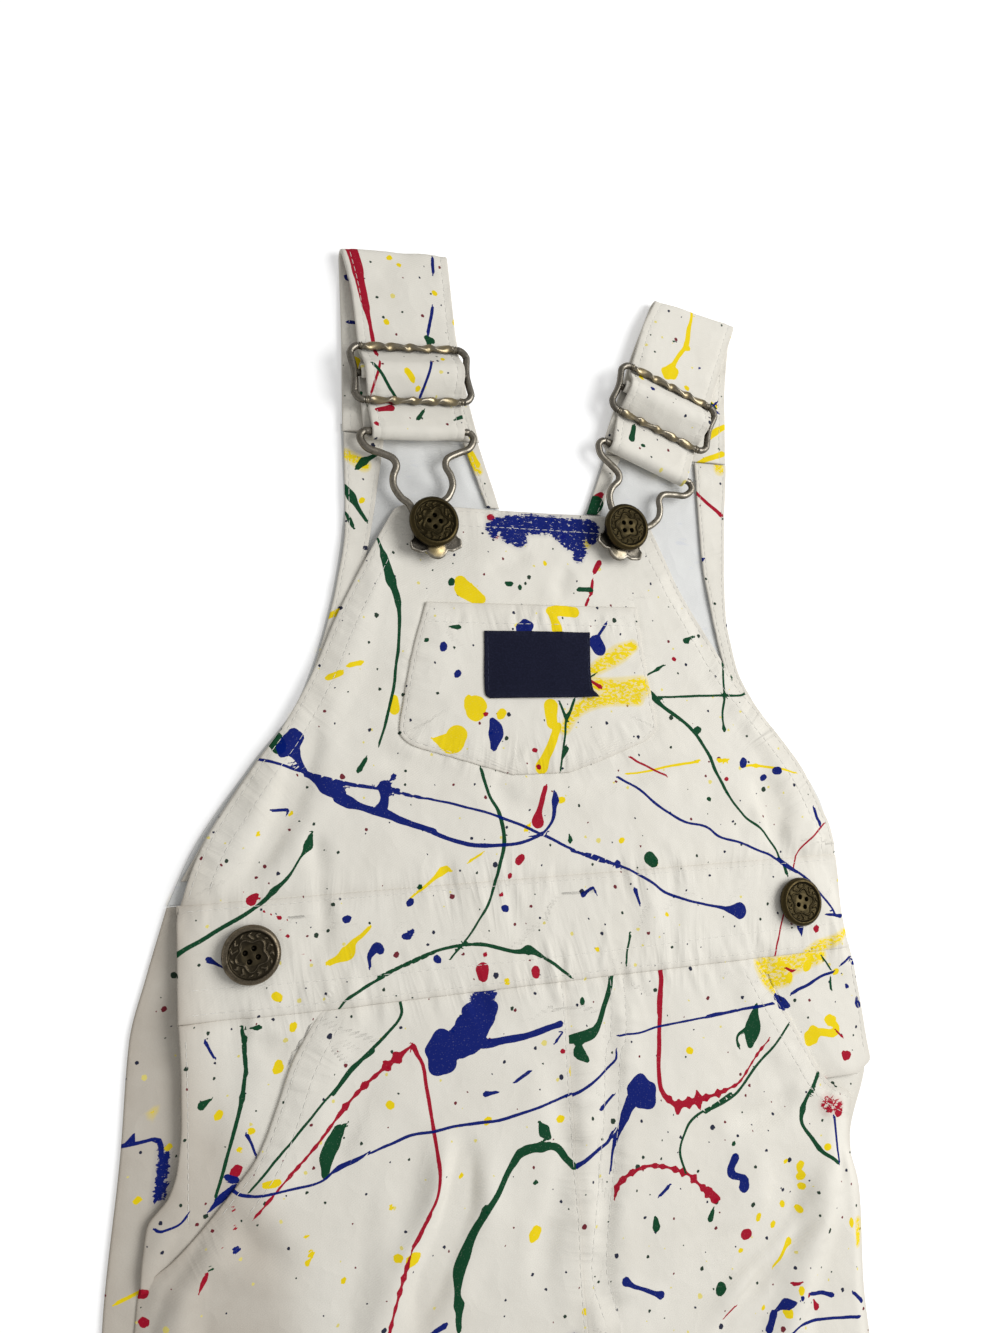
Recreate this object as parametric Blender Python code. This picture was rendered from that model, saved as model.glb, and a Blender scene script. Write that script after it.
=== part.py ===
"""Infant's bib overalls with a spatter print, laid flat face up with both straps fastened.

Lengths are millimetres until slab(), band(), tube() and turned() turn them into metres.
x runs across the garment, to the right as it is seen. y runs up it from the line of the
side buttons. z is the height above the table, and each layer of cloth lies on the one below.
"""
import math
from collections import namedtuple

import bmesh
import bpy
from mathutils import Vector

MM = 0.001
WAIST_Y = 52.0          # the side buttons' line, above the middle of the whole length
CLOTH = 1.2             # wall of one layer of twill with its turned edges
TRIM = 1.0              # wall of a facing or a label
GAP = 0.3               # air between pieces that touch
LEVEL = CLOTH + GAP     # from one layer to the next
FACING_LEVEL = TRIM + GAP
WIRE = 1.1              # radius of the buckle wire
MIDDLE_BAR = 1.05       # radius of the slider's middle bar

ROW_STEP = 13.0
DRAPE_START = 6.0       # how far a layer stays up beside what it lies on
DRAPE_END = 16.0

FABRIC_PRINT = ("print", (0.86, 0.84, 0.80), 0.85, 0.0)
FABRIC_BACK = ("wrong_side", (0.82, 0.83, 0.86), 0.9, 0.0)
FABRIC_NAVY = ("navy_weave", (0.03, 0.04, 0.11), 0.8, 0.0)
NICKEL = ("aged_nickel", (0.36, 0.33, 0.29), 0.35, 1.0)
BRASS = ("dark_brass", (0.16, 0.13, 0.09), 0.45, 1.0)

# Outlines. A row gives one level y and the piece's two edges there.
Level = namedtuple("Level", "y left right")

BACK_LEG_LEFT = [
    Level(-312.5, -128.0, -17.0),
    Level(-240.0, -127.0, -9.0),
    Level(-165.0, -125.5, 0.0),
    Level(-83.0, -123.0, 1.0),
    Level(-44.0, -119.0, 1.6),
    Level(-18.0, -117.0, 1.8),
    Level(-3.0, -113.0, 2.0),
    Level(13.7, -108.0, 2.2),
]
BACK_LEG_RIGHT = [
    Level(-312.5, 26.0, 128.0),
    Level(-240.0, 13.0, 113.0),
    Level(-165.0, 0.3, 99.0),
    Level(-120.0, 0.9, 95.5),
    Level(-75.0, 1.3, 96.5),
    Level(-50.0, 1.8, 106.0),
    Level(-33.0, 2.1, 106.0),
    Level(-1.0, 2.3, 103.0),
    Level(13.7, 2.5, 102.5),
]
BACK_YOKE_LEFT = [
    Level(14.0, -108.0, 2.2),
    Level(28.0, -101.5, 2.2),
    Level(50.0, -86.0, 2.2),
    Level(67.0, -73.0, 2.2),
    Level(96.0, -63.0, 2.2),
    Level(110.0, -60.0, 1.0),
    Level(115.0, -59.2, -4.5),
    Level(127.0, -58.0, -9.5),
    Level(150.0, -58.2, -15.5),
]
BACK_YOKE_RIGHT = [
    Level(14.0, 2.5, 102.5),
    Level(29.0, 2.5, 100.5),
    Level(42.0, 2.5, 94.0),
    Level(59.0, 2.5, 81.0),
    Level(76.0, 2.5, 72.0),
    Level(96.0, 2.5, 69.5),
    Level(110.0, 4.0, 70.6),
    Level(115.0, 12.5, 71.2),
    Level(127.0, 20.0, 72.6),
    Level(150.0, 30.0, 76.2),
]
ARMHOLE_FACING_LEFT = [
    Level(20.0, -104.6, -97.5),
    Level(35.0, -95.6, -89.0),
    Level(50.0, -85.2, -78.5),
    Level(67.0, -72.2, -65.5),
    Level(80.0, -67.2, -60.0),
    Level(100.0, -61.5, -54.3),
    Level(119.0, -58.2, -50.2),
    Level(147.0, -57.7, -45.2),
]
ARMHOLE_FACING_RIGHT = [
    Level(20.0, 95.0, 101.0),
    Level(42.0, 86.5, 93.3),
    Level(59.0, 74.0, 80.3),
    Level(76.0, 66.6, 71.4),
    Level(94.0, 63.5, 69.0),
    Level(113.0, 61.8, 70.5),
    Level(147.0, 62.5, 75.2),
]
NECK_FACING_LEFT = [
    Level(126.2, -13.7, -9.6),
    Level(147.0, -20.5, -15.4),
]
NECK_FACING_RIGHT = [
    Level(126.2, 20.2, 25.0),
    Level(147.0, 29.2, 34.6),
]
HIP_LEFT = [
    Level(-66.0, -112.5, -94.0),
    Level(-61.0, -113.0, -87.0),
    Level(-55.0, -108.0, -82.0),
    Level(-49.0, -106.0, -77.5),
    Level(-38.0, -105.0, -72.5),
    Level(-29.0, -105.0, -69.0),
    Level(-16.3, -105.6, -61.0),
]
HIP_RIGHT = [
    Level(-55.0, 79.0, 100.5),
    Level(-51.0, 77.0, 106.5),
    Level(-44.0, 73.0, 106.0),
    Level(-30.0, 65.5, 105.0),
    Level(-16.3, 58.5, 103.0),
]
FRONT_LEG_LEFT = [
    Level(-312.5, -127.6, -17.4),
    Level(-240.0, -126.6, -9.3),
    Level(-165.0, -125.0, -0.3),
    Level(-83.0, -121.5, 0.8),
    Level(-69.0, -117.0, 1.0),
    Level(-66.5, -103.0, 1.0),
    Level(-58.0, -93.0, 1.2),
    Level(-49.0, -86.5, 1.4),
    Level(-38.0, -81.5, 1.5),
    Level(-29.0, -78.0, 1.5),
    Level(-16.3, -70.0, 1.5),
]
FRONT_LEG_RIGHT = [
    Level(-312.5, 26.4, 127.6),
    Level(-240.0, 13.3, 112.6),
    Level(-165.0, 0.6, 98.6),
    Level(-120.0, 1.0, 95.2),
    Level(-88.0, 1.2, 97.6),
    Level(-75.0, 1.2, 95.6),
    Level(-61.0, 1.4, 97.5),
    Level(-55.6, 1.5, 89.0),
    Level(-44.0, 1.7, 82.0),
    Level(-30.0, 1.8, 74.5),
    Level(-16.3, 1.8, 67.0),
]
BIB = [
    Level(14.3, -104.8, 102.0),
    Level(22.0, -102.2, 101.0),
    Level(30.0, -98.5, 98.0),
    Level(40.0, -92.0, 93.5),
    Level(50.0, -85.0, 87.0),
    Level(60.0, -77.5, 79.5),
    Level(76.0, -67.0, 67.0),
    Level(90.0, -60.0, 58.5),
    Level(103.0, -53.0, 53.0),
    Level(115.0, -46.3, 49.5),
    Level(120.5, -43.5, 48.0),
    Level(124.0, -40.5, 45.0),
    Level(125.6, -36.0, 41.0),
]
BIB_POCKET = [
    Level(44.0, -11.0, 7.0),
    Level(47.0, -21.0, 17.0),
    Level(50.5, -32.0, 27.0),
    Level(54.0, -42.5, 35.5),
    Level(57.5, -45.0, 38.0),
    Level(66.0, -43.5, 37.3),
    Level(78.0, -41.0, 36.2),
    Level(95.5, -35.5, 34.5),
]
LABEL = [
    Level(67.5, -19.0, 16.0),
    Level(87.0, -18.0, 17.0),
]
# The waistband runs across, so its rows give x and the band's lower and upper edges.
Station = namedtuple("Station", "x low high")
WAISTBAND = [
    Station(-105.8, -12.0, 14.0),
    Station(-98.0, -13.5, 14.0),
    Station(-70.0, -16.0, 14.0),
    Station(0.0, -16.0, 14.0),
    Station(56.0, -16.0, 14.0),
    Station(96.0, -16.0, 14.0),
    Station(102.2, -16.0, 13.6),
]

# The largest folds of the legs: ridges from one end to the other, in plan.
Fold = namedtuple("Fold", "x0 y0 x1 y1 height width")
FRONT_FOLDS = [
    Fold(94.0, -72.0, 46.0, -150.0, 3.2, 9.0),
    Fold(70.0, -96.0, 62.0, -210.0, 2.4, 8.0),
    Fold(6.0, -100.0, -16.0, -160.0, 2.6, 7.0),
    Fold(-52.0, -62.0, -70.0, -170.0, 2.2, 8.0),
    Fold(-104.0, -74.0, -112.0, -150.0, 2.4, 6.0),
    Fold(-60.0, -205.0, -84.0, -280.0, 2.4, 9.0),
    Fold(88.0, -190.0, 70.0, -285.0, 2.6, 9.0),
]

# Buttons, by the middle of the head.
Button = namedtuple("Button", "name x y radius seat neck")
BIB_HEAD = 7.6
SIDE_HEAD = 7.6
HEAD_HEIGHT = 2.8
RIM = 1.5               # width of the head's raised rim
RIM_DEPTH = 0.5
SHANK = 2.9
BUTTONS = [
    Button("bib_button_left", -33.2, 118.6, BIB_HEAD, LEVEL + CLOTH + GAP, 4.3),
    Button("bib_button_right", 30.6, 120.4, BIB_HEAD, LEVEL + CLOTH + GAP, 4.3),
    Button("side_button_left", -87.6, 0.4, SIDE_HEAD, LEVEL + CLOTH + GAP, 1.4),
    Button("side_button_right", 83.8, 0.0, SIDE_HEAD, LEVEL + CLOTH + GAP, 1.4),
]

# A buckle's own frame: v runs up the strap from the hook's bar, u runs across it.
Buckle = namedtuple("Buckle", "side x y lean lower_bar fold button_u button_v")
BUCKLES = [
    Buckle("left", -36.0, 147.6, -4.3, 9.0, 59.0, 0.6, -29.1),
    Buckle("right", 42.3, 144.4, 21.5, 11.5, 61.5, -2.1, -26.6),
]
BAR_STEP = 8.5          # between the slider's bars
SLIDER_HALF = 18.3      # half the slider's width, to the middle of the wire
SLIDER_WAIST = 17.6     # the same at the middle bar
SLIDER_CORNER = 3.0
RETURN_Z = FACING_LEVEL + LEVEL + CLOTH / 2        # middle of the strap's end, behind the buckle
FRONT_Z = RETURN_Z + LEVEL                         # middle of the strap where it passes under a bar
THREAD = WIRE + GAP + CLOTH / 2                    # from a bar to the middle of cloth round it
OVER_LOOP = THREAD + LEVEL                         # the same over the strap's sewn end
SLIDER_Z = FRONT_Z + THREAD
HOOK_Z = RETURN_Z + THREAD
HOOK_LOW_Z = 4.7        # the wire behind the button
TOP_FOLD = 1.6          # radius of the fold at the shoulder, to the middle of the cloth

# Edges of each strap: its back run, then its front run, by v along the middle.
Edge = namedtuple("Edge", "v left right skew")
STRAP_BACK = {
    "left": [Edge(2.6, -22.0, 21.0, -0.075), Edge(14.0, -20.6, 19.2, -0.04),
             Edge(30.0, -19.0, 18.2, 0.0), Edge(59.0, -16.6, 17.6, 0.01)],
    "right": [Edge(6.4, -13.4, 29.3, 0.394), Edge(20.0, -14.6, 25.6, 0.34),
              Edge(34.0, -14.6, 22.4, 0.3), Edge(61.5, -12.8, 18.3, 0.2)],
}
STRAP_FRONT = {
    "left": [Edge(-4.0, -14.4, 14.2, 0.0), Edge(9.0, -14.3, 15.2, 0.0),
             Edge(17.5, -15.2, 15.9, 0.0), Edge(43.0, -14.9, 17.0, 0.0),
             Edge(59.0, -16.6, 17.6, 0.01)],
    "right": [Edge(-4.0, -14.1, 14.2, 0.0), Edge(11.5, -14.6, 15.4, 0.0),
              Edge(20.0, -14.8, 15.9, 0.0), Edge(46.0, -14.8, 17.4, 0.1),
              Edge(61.5, -12.8, 18.3, 0.2)],
}
RETURN_EDGES = (-16.0, 14.0)
RETURN_TURN = 3.0       # sections over which the strap's end takes those edges
END_HEADING = 250.0     # where the sewn end stops, in degrees round the middle bar
ARC_STEP = 30.0         # degrees between sections round a bar

# Half of the hook's wire, from the end of its bar down to the button's slot.
Bend = namedtuple("Bend", "u v")
HOOK_SIDE = [
    Bend(13.5, 0.0),
    Bend(16.6, -0.2),
    Bend(17.8, -2.2),
    Bend(16.0, -5.2),
    Bend(12.0, -6.8),
    Bend(8.6, -8.4),
    Bend(7.7, -10.8),
    Bend(9.0, -13.8),
    Bend(9.2, -17.0),
    Bend(7.4, -20.4),
    Bend(5.0, -22.6),
]
SLOT = SHANK + GAP + WIRE   # half-width of the slot that holds the button's shank

# The stamped plate behind each button, round the button: half of its outline.
PLATE_HALF = 9.8        # half-width at the flared lower corners
PLATE_SIDE = 9.0        # half-width above them
PLATE_TOP = 3.0         # upper edge, above the shank
PLATE_FLARE = 6.6       # lower corners, below the shank
PLATE_TONGUE = 3.1      # radius of the round tongue
PLATE_TONGUE_LOW = 9.6  # its lowest point
PLATE_NOTCH = 1.2       # from the tongue to the lower edge
PLATE_WALL = 0.7
PLATE_SHIFT = 1.6       # to the right of the shank
HOLE_TURN = 20.0        # degrees between its points, round the hole


def clear_scene():
    for item in list(bpy.data.objects):
        bpy.data.objects.remove(item, do_unlink=True)


def make_material(spec):
    name, colour, roughness, metallic = spec
    found = bpy.data.materials.get(name)
    if found:
        return found
    material = bpy.data.materials.new(name)
    material.use_nodes = True
    shader = material.node_tree.nodes["Principled BSDF"]
    shader.inputs["Base Color"].default_value = (*colour, 1.0)
    shader.inputs["Roughness"].default_value = roughness
    shader.inputs["Metallic"].default_value = metallic
    material.diffuse_color = (*colour, 1.0)
    return material


def add_object(name, mesh, spec):
    mesh.materials.append(make_material(spec))
    item = bpy.data.objects.new(name, mesh)
    bpy.context.scene.collection.objects.link(item)
    return item


def ease(t):
    t = min(max(t, 0.0), 1.0)
    return t * t * (3.0 - 2.0 * t)


def smooth_column(table, key, column, at):
    """Value of a table's column at a key, on a cubic through the rows."""
    keys = [getattr(row, key) for row in table]
    values = [getattr(row, column) for row in table]
    if at <= keys[0]:
        return values[0]
    if at >= keys[-1]:
        return values[-1]
    i = max(k for k in range(len(keys) - 1) if keys[k] <= at)
    rises = [(values[k + 1] - values[k]) / (keys[k + 1] - keys[k]) for k in range(len(keys) - 1)]

    def slope(k):
        if k == 0:
            return rises[0]
        if k == len(keys) - 1:
            return rises[-1]
        if rises[k - 1] * rises[k] <= 0.0:
            return 0.0
        return 2.0 * rises[k - 1] * rises[k] / (rises[k - 1] + rises[k])

    span = keys[i + 1] - keys[i]
    t = (at - keys[i]) / span
    return (values[i] * (2 * t**3 - 3 * t**2 + 1) + slope(i) * span * (t**3 - 2 * t**2 + t)
            + values[i + 1] * (3 * t**2 - 2 * t**3) + slope(i + 1) * span * (t**3 - t**2))


def steps_between(keys, step):
    """The keys themselves, with even steps added where they lie far apart."""
    stops = [keys[0]]
    for low, high in zip(keys, keys[1:]):
        count = max(1, math.ceil((high - low) / step))
        stops += [low + (high - low) * k / count for k in range(1, count + 1)]
    return stops


def plan_by_level(table, columns, step=ROW_STEP):
    """Grid of (x, y) points between a piece's two edges, one row to a level."""
    grid = []
    for y in steps_between([row.y for row in table], step):
        left = smooth_column(table, "y", "left", y)
        right = smooth_column(table, "y", "right", y)
        grid.append([(left + (right - left) * k / columns, y) for k in range(columns + 1)])
    return grid


def plan_by_station(table, columns, step=ROW_STEP):
    """The same for a piece that runs across, one row to a station."""
    grid = []
    for x in steps_between([row.x for row in table], step):
        low = smooth_column(table, "x", "low", x)
        high = smooth_column(table, "x", "high", x)
        grid.append([(x, high + (low - high) * k / columns) for k in range(columns + 1)])
    return grid


def closed_mesh(name, lower, upper):
    """Closed wall between two matching grids of points, in millimetres."""
    rows = len(lower)
    columns = len(lower[0])
    points = [p for grid in (lower, upper) for row in grid for p in row]
    offset = rows * columns

    def at(r, c):
        return r * columns + c

    faces = []
    for r in range(rows - 1):
        for c in range(columns - 1):
            corners = (at(r, c), at(r, c + 1), at(r + 1, c + 1), at(r + 1, c))
            faces.append(tuple(k + offset for k in corners))
            faces.append(tuple(reversed(corners)))
    rim = [at(0, c) for c in range(columns)]
    rim += [at(r, columns - 1) for r in range(1, rows)]
    rim += [at(rows - 1, c) for c in range(columns - 2, -1, -1)]
    rim += [at(r, 0) for r in range(rows - 2, 0, -1)]
    for a, b in zip(rim, rim[1:] + rim[:1]):
        faces.append((a, b, b + offset, a + offset))
    mesh = bpy.data.meshes.new(name)
    places = [(x * MM, (y + WAIST_Y) * MM, z * MM) for x, y, z in points]
    mesh.from_pydata(places, [], faces)
    work = bmesh.new()
    work.from_mesh(mesh)
    bmesh.ops.recalc_face_normals(work, faces=work.faces)
    bmesh.ops.triangulate(work, faces=work.faces, quad_method="SHORT_EDGE")
    work.to_mesh(mesh)
    work.free()
    mesh.validate()
    return mesh


def slab(name, plan, base, wall, spec):
    """A panel: the plan's points at the heights that base(x, y) gives, with a wall on top."""
    lower = [[(x, y, base(x, y)) for x, y in row] for row in plan]
    upper = [[(x, y, z + wall) for x, y, z in row] for row in lower]
    return add_object(name, closed_mesh(name, lower, upper), spec)


def side_distance(table, x, y):
    """How far a point lies outside a piece, measured along x and y."""
    low = table[0].y
    high = table[-1].y
    left = smooth_column(table, "y", "left", y)
    right = smooth_column(table, "y", "right", y)
    out_x = max(left - x, x - right, 0.0)
    out_y = max(low - y, y - high, 0.0)
    return math.hypot(out_x, out_y)


def cover(table, x, y):
    """1 over a piece and close beside it, falling to 0 further out."""
    far = side_distance(table, x, y)
    return 1.0 - ease((far - DRAPE_START) / (DRAPE_END - DRAPE_START))


def fold_height(folds, x, y):
    """Height of the ridges: round across, and dying away at both ends."""
    total = 0.0
    for fold in folds:
        along = Vector((fold.x1 - fold.x0, fold.y1 - fold.y0))
        place = Vector((x - fold.x0, y - fold.y0))
        t = place.dot(along) / along.length_squared
        if 0.0 < t < 1.0:
            away = abs(place.x * along.y - place.y * along.x) / along.length
            across = 1.0 - ease(away / fold.width)
            total = max(total, fold.height * across * math.sin(math.pi * t))
    return total


def on_table(x, y):
    return 0.0


def on_back(x, y):
    return LEVEL


def bib_base(x, y):
    over = max(cover(ARMHOLE_FACING_LEFT, x, y), cover(ARMHOLE_FACING_RIGHT, x, y))
    return LEVEL + FACING_LEVEL * over


def leg_base(x, y):
    over = max(cover(HIP_LEFT, x, y), cover(HIP_RIGHT, x, y))
    return LEVEL + LEVEL * over + fold_height(FRONT_FOLDS, x, y)


def pocket_base(x, y):
    return bib_base(x, y) + LEVEL


def label_base(x, y):
    return pocket_base(x, y) + LEVEL


def thread(stops, final_heading):
    """Belt line round circles: (v, z, r) with r > 0 to the left of the way it runs.

    Between two circles it is straight and touches both. final_heading ends the last turn.
    """
    headings = []
    for (v0, z0, r0), (v1, z1, r1) in zip(stops, stops[1:]):
        far = math.hypot(v1 - v0, z1 - z0)
        headings.append(math.atan2(z1 - z0, v1 - v0) - math.asin((r1 - r0) / far))
    headings.append(final_heading)
    points = [stops[0][:2]]
    heading = headings[0]
    for (v, z, r), leaving in zip(stops[1:], headings[1:]):
        turn = (leaving - heading) % (2.0 * math.pi)
        if r < 0.0:
            turn = -((heading - leaving) % (2.0 * math.pi))
        if r == 0.0:
            points.append((v, z))
        else:
            count = max(1, math.ceil(abs(turn) / math.radians(ARC_STEP)))
            for k in range(count + 1):
                a = heading + turn * k / count
                points.append((v + r * math.sin(a), z - r * math.cos(a)))
        heading = leaving
    return points


def strap_line(buckle):
    """Middle line of a strap in its own (v, z) plane, and where its runs change."""
    lower = buckle.lower_bar
    middle = lower + BAR_STEP
    upper = middle + BAR_STEP
    start = STRAP_BACK[buckle.side][0].v
    half = CLOTH / 2
    stops = [
        (start, half, 0.0),
        (buckle.fold - TOP_FOLD, half + TOP_FOLD, TOP_FOLD),
        (upper, SLIDER_Z, -THREAD),
        (middle, SLIDER_Z, OVER_LOOP),
        (lower, SLIDER_Z, -THREAD),
        (0.0, HOOK_Z, THREAD),
        (middle, SLIDER_Z, THREAD),
    ]
    return thread(stops, math.radians(END_HEADING))


def strap_frame(buckle):
    lean = math.radians(buckle.lean)
    across = Vector((math.cos(lean), -math.sin(lean)))
    along = Vector((math.sin(lean), math.cos(lean)))
    return Vector((buckle.x, buckle.y)), across, along


def from_strap(buckle, u, v, z):
    origin, across, along = strap_frame(buckle)
    spot = origin + across * u + along * v
    return spot.x, spot.y, z


def strap_sections(buckle):
    """Each section of the strap: its place on the line, its two edges and its skew."""
    line = strap_line(buckle)
    top = max(range(len(line)), key=lambda k: line[k][0])
    low = min(range(len(line)), key=lambda k: line[k][0] if k > top else math.inf)
    sections = []
    for k, (v, z) in enumerate(line):
        table = STRAP_BACK[buckle.side] if k <= top else STRAP_FRONT[buckle.side]
        left, right, skew = (smooth_column(table, "v", c, v) for c in ("left", "right", "skew"))
        if k > low:
            turned = ease((k - low) / RETURN_TURN)
            left += (RETURN_EDGES[0] - left) * turned
            right += (RETURN_EDGES[1] - right) * turned
        sections.append((v, z, left, right, skew))
    return sections


def line_normals(sections):
    """Unit normal of the line at each section, to the left of the way it runs."""
    normals = []
    for k in range(len(sections)):
        before = sections[max(k - 1, 0)]
        after = sections[min(k + 1, len(sections) - 1)]
        run = Vector((after[0] - before[0], after[1] - before[1])).normalized()
        normals.append(Vector((-run.y, run.x)))
    return normals


def band(buckle, columns=3):
    """A strap: its line given a wall to both sides, and its width across."""
    sections = strap_sections(buckle)
    sides = []
    for sign in (1.0, -1.0):
        grid = []
        for (v, z, left, right, skew), normal in zip(sections, line_normals(sections)):
            v_side = v + sign * normal.x * CLOTH / 2
            z_side = z + sign * normal.y * CLOTH / 2
            spots = [left + (right - left) * k / columns for k in range(columns + 1)]
            grid.append([from_strap(buckle, u, v_side + skew * u, z_side) for u in spots])
        sides.append(grid)
    name = "strap_" + buckle.side
    return add_object(name, closed_mesh(name, sides[0], sides[1]), FABRIC_PRINT)


def tube(name, points, radius, closed, spec, sides=8):
    """Round wire through points, in millimetres."""
    curve = bpy.data.curves.new(name, "CURVE")
    curve.dimensions = "3D"
    curve.bevel_depth = radius * MM
    curve.bevel_resolution = (sides - 4) // 2
    curve.use_fill_caps = not closed
    spline = curve.splines.new("POLY")
    spline.points.add(len(points) - 1)
    for knot, (x, y, z) in zip(spline.points, points):
        knot.co = (x * MM, (y + WAIST_Y) * MM, z * MM, 1.0)
    spline.use_cyclic_u = closed
    curve.materials.append(make_material(spec))
    item = bpy.data.objects.new(name, curve)
    bpy.context.scene.collection.objects.link(item)
    return item


def round_through(points, per_span):
    """Catmull-Rom curve through a closed ring of points."""
    count = len(points)
    curve = []
    for k in range(count):
        a, b, c, d = (Vector(points[(k + j) % count]) for j in (-1, 0, 1, 2))
        for j in range(per_span):
            t = j / per_span
            curve.append(0.5 * (2 * b + (c - a) * t + (2 * a - 5 * b + 4 * c - d) * t**2
                                + (3 * b - a - 3 * c + d) * t**3))
    return curve


def hook_wire(buckle):
    """Keyhole of wire: a bar in the strap's lower fold, shoulders, a loop and the shank's slot."""
    button_u = buckle.button_u
    button_v = buckle.button_v
    side = [(bend.u, bend.v) for bend in HOOK_SIDE]
    right = side + [(SLOT + button_u, button_v + 2.0)]
    slot = [(button_u + SLOT * math.cos(a), button_v + SLOT * math.sin(a))
            for a in (math.radians(d) for d in (-30.0, -90.0, -150.0))]
    left = [(-SLOT + button_u, button_v + 2.0)] + [(-u, v) for u, v in reversed(side)]
    ring = round_through([(u, v, 0.0) for u, v in right + slot + left], 2)
    drop = (HOOK_Z - HOOK_LOW_Z) / abs(button_v)
    points = [from_strap(buckle, p.x, p.y, HOOK_Z + drop * min(p.y, 0.0)) for p in ring]
    return tube("hook_" + buckle.side, points, WIRE, True, NICKEL)


def slider_outline(lower):
    """Ring of wire round the slider's two windows, drawn in at the middle bar."""
    upper = lower + 2 * BAR_STEP
    corner = SLIDER_CORNER
    points = []
    for sign_v, level, start in ((1, upper, 0.0), (-1, lower, 180.0)):
        for sign_u, first in ((1, start), (-1, start + 90.0)):
            centre_u = sign_v * sign_u * (SLIDER_HALF - corner)
            centre_v = level - sign_v * corner
            for k in range(4):
                a = math.radians(first + 30.0 * k)
                points.append((centre_u + corner * math.cos(a), centre_v + corner * math.sin(a)))
        points.append((-sign_v * SLIDER_WAIST, lower + BAR_STEP))
    return points


def slider(buckle):
    """Wire slider: the ring and its middle bar, joined once both are meshes."""
    name = "slider_" + buckle.side
    lower = buckle.lower_bar
    parts = []
    ring = [from_strap(buckle, u, v, SLIDER_Z) for u, v in slider_outline(lower)]
    parts.append(tube(name + "_ring", ring, WIRE, True, NICKEL))
    ends = [from_strap(buckle, u, lower + BAR_STEP, SLIDER_Z) for u in (-SLIDER_WAIST, SLIDER_WAIST)]
    parts.append(tube(name + "_bar", ends, MIDDLE_BAR, False, NICKEL))
    meshes = []
    for part in parts:
        graph = bpy.context.evaluated_depsgraph_get()
        meshes.append(bpy.data.meshes.new_from_object(part.evaluated_get(graph)))
        bpy.data.objects.remove(part, do_unlink=True)
    item = add_object(name, meshes[0], NICKEL)
    bar = add_object(name + "_cutter", meshes[1], NICKEL)
    bar.hide_render = True
    bar.display_type = "WIRE"
    join = item.modifiers.new("bar", "BOOLEAN")
    join.operation = "UNION"
    join.object = bar
    return item


def turned(name, profile, x, y, spec, segments=24):
    """Solid of revolution about a vertical axis, from (radius, height) rows."""
    mesh = bpy.data.meshes.new(name)
    work = bmesh.new()
    rings = []
    for radius, height in profile:
        ring = []
        for k in range(segments):
            a = 2.0 * math.pi * k / segments
            ring.append(work.verts.new(((x + radius * math.cos(a)) * MM,
                                        (y + WAIST_Y + radius * math.sin(a)) * MM, height * MM)))
        rings.append(ring)
    for low, high in zip(rings, rings[1:]):
        for k in range(segments):
            j = (k + 1) % segments
            work.faces.new((low[k], low[j], high[j], high[k]))
    work.faces.new(list(reversed(rings[0])))
    work.faces.new(rings[-1])
    bmesh.ops.recalc_face_normals(work, faces=work.faces)
    bmesh.ops.triangulate(work, faces=work.faces)
    work.to_mesh(mesh)
    work.free()
    mesh.shade_smooth()
    mesh.set_sharp_from_angle(angle=math.radians(40.0))
    return add_object(name, mesh, spec)


def button(row):
    """Tack button: shank, then a rolled head with a raised rim and a sunk face."""
    head = row.seat + row.neck
    top = head + HEAD_HEIGHT
    profile = [
        (SHANK, row.seat),
        (SHANK, head),
        (row.radius - RIM / 2, head),
        (row.radius, head + HEAD_HEIGHT / 3),
        (row.radius, top - HEAD_HEIGHT / 3),
        (row.radius - RIM / 2, top),
        (row.radius - RIM, top),
        (row.radius - RIM - RIM_DEPTH, top - RIM_DEPTH),
    ]
    return turned(row.name, profile, row.x, row.y, BRASS)


def plate_ring(outline):
    """The outline's corners and the points between them, none further apart than HOLE_TURN.

    The corners run anticlockwise and are measured from the middle of the hole.
    """
    ring = []
    for a, b in zip(outline, outline[1:] + outline[:1]):
        heading = math.atan2(a.y, a.x)
        turn = (math.atan2(b.y, b.x) - heading) % (2.0 * math.pi)
        count = math.ceil(turn / math.radians(HOLE_TURN))
        for k in range(count):
            ray = heading + turn * k / count
            side = Vector((-math.sin(ray), math.cos(ray)))
            ring.append(a.lerp(b, a.dot(side) / (a - b).dot(side)))
    return ring


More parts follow.
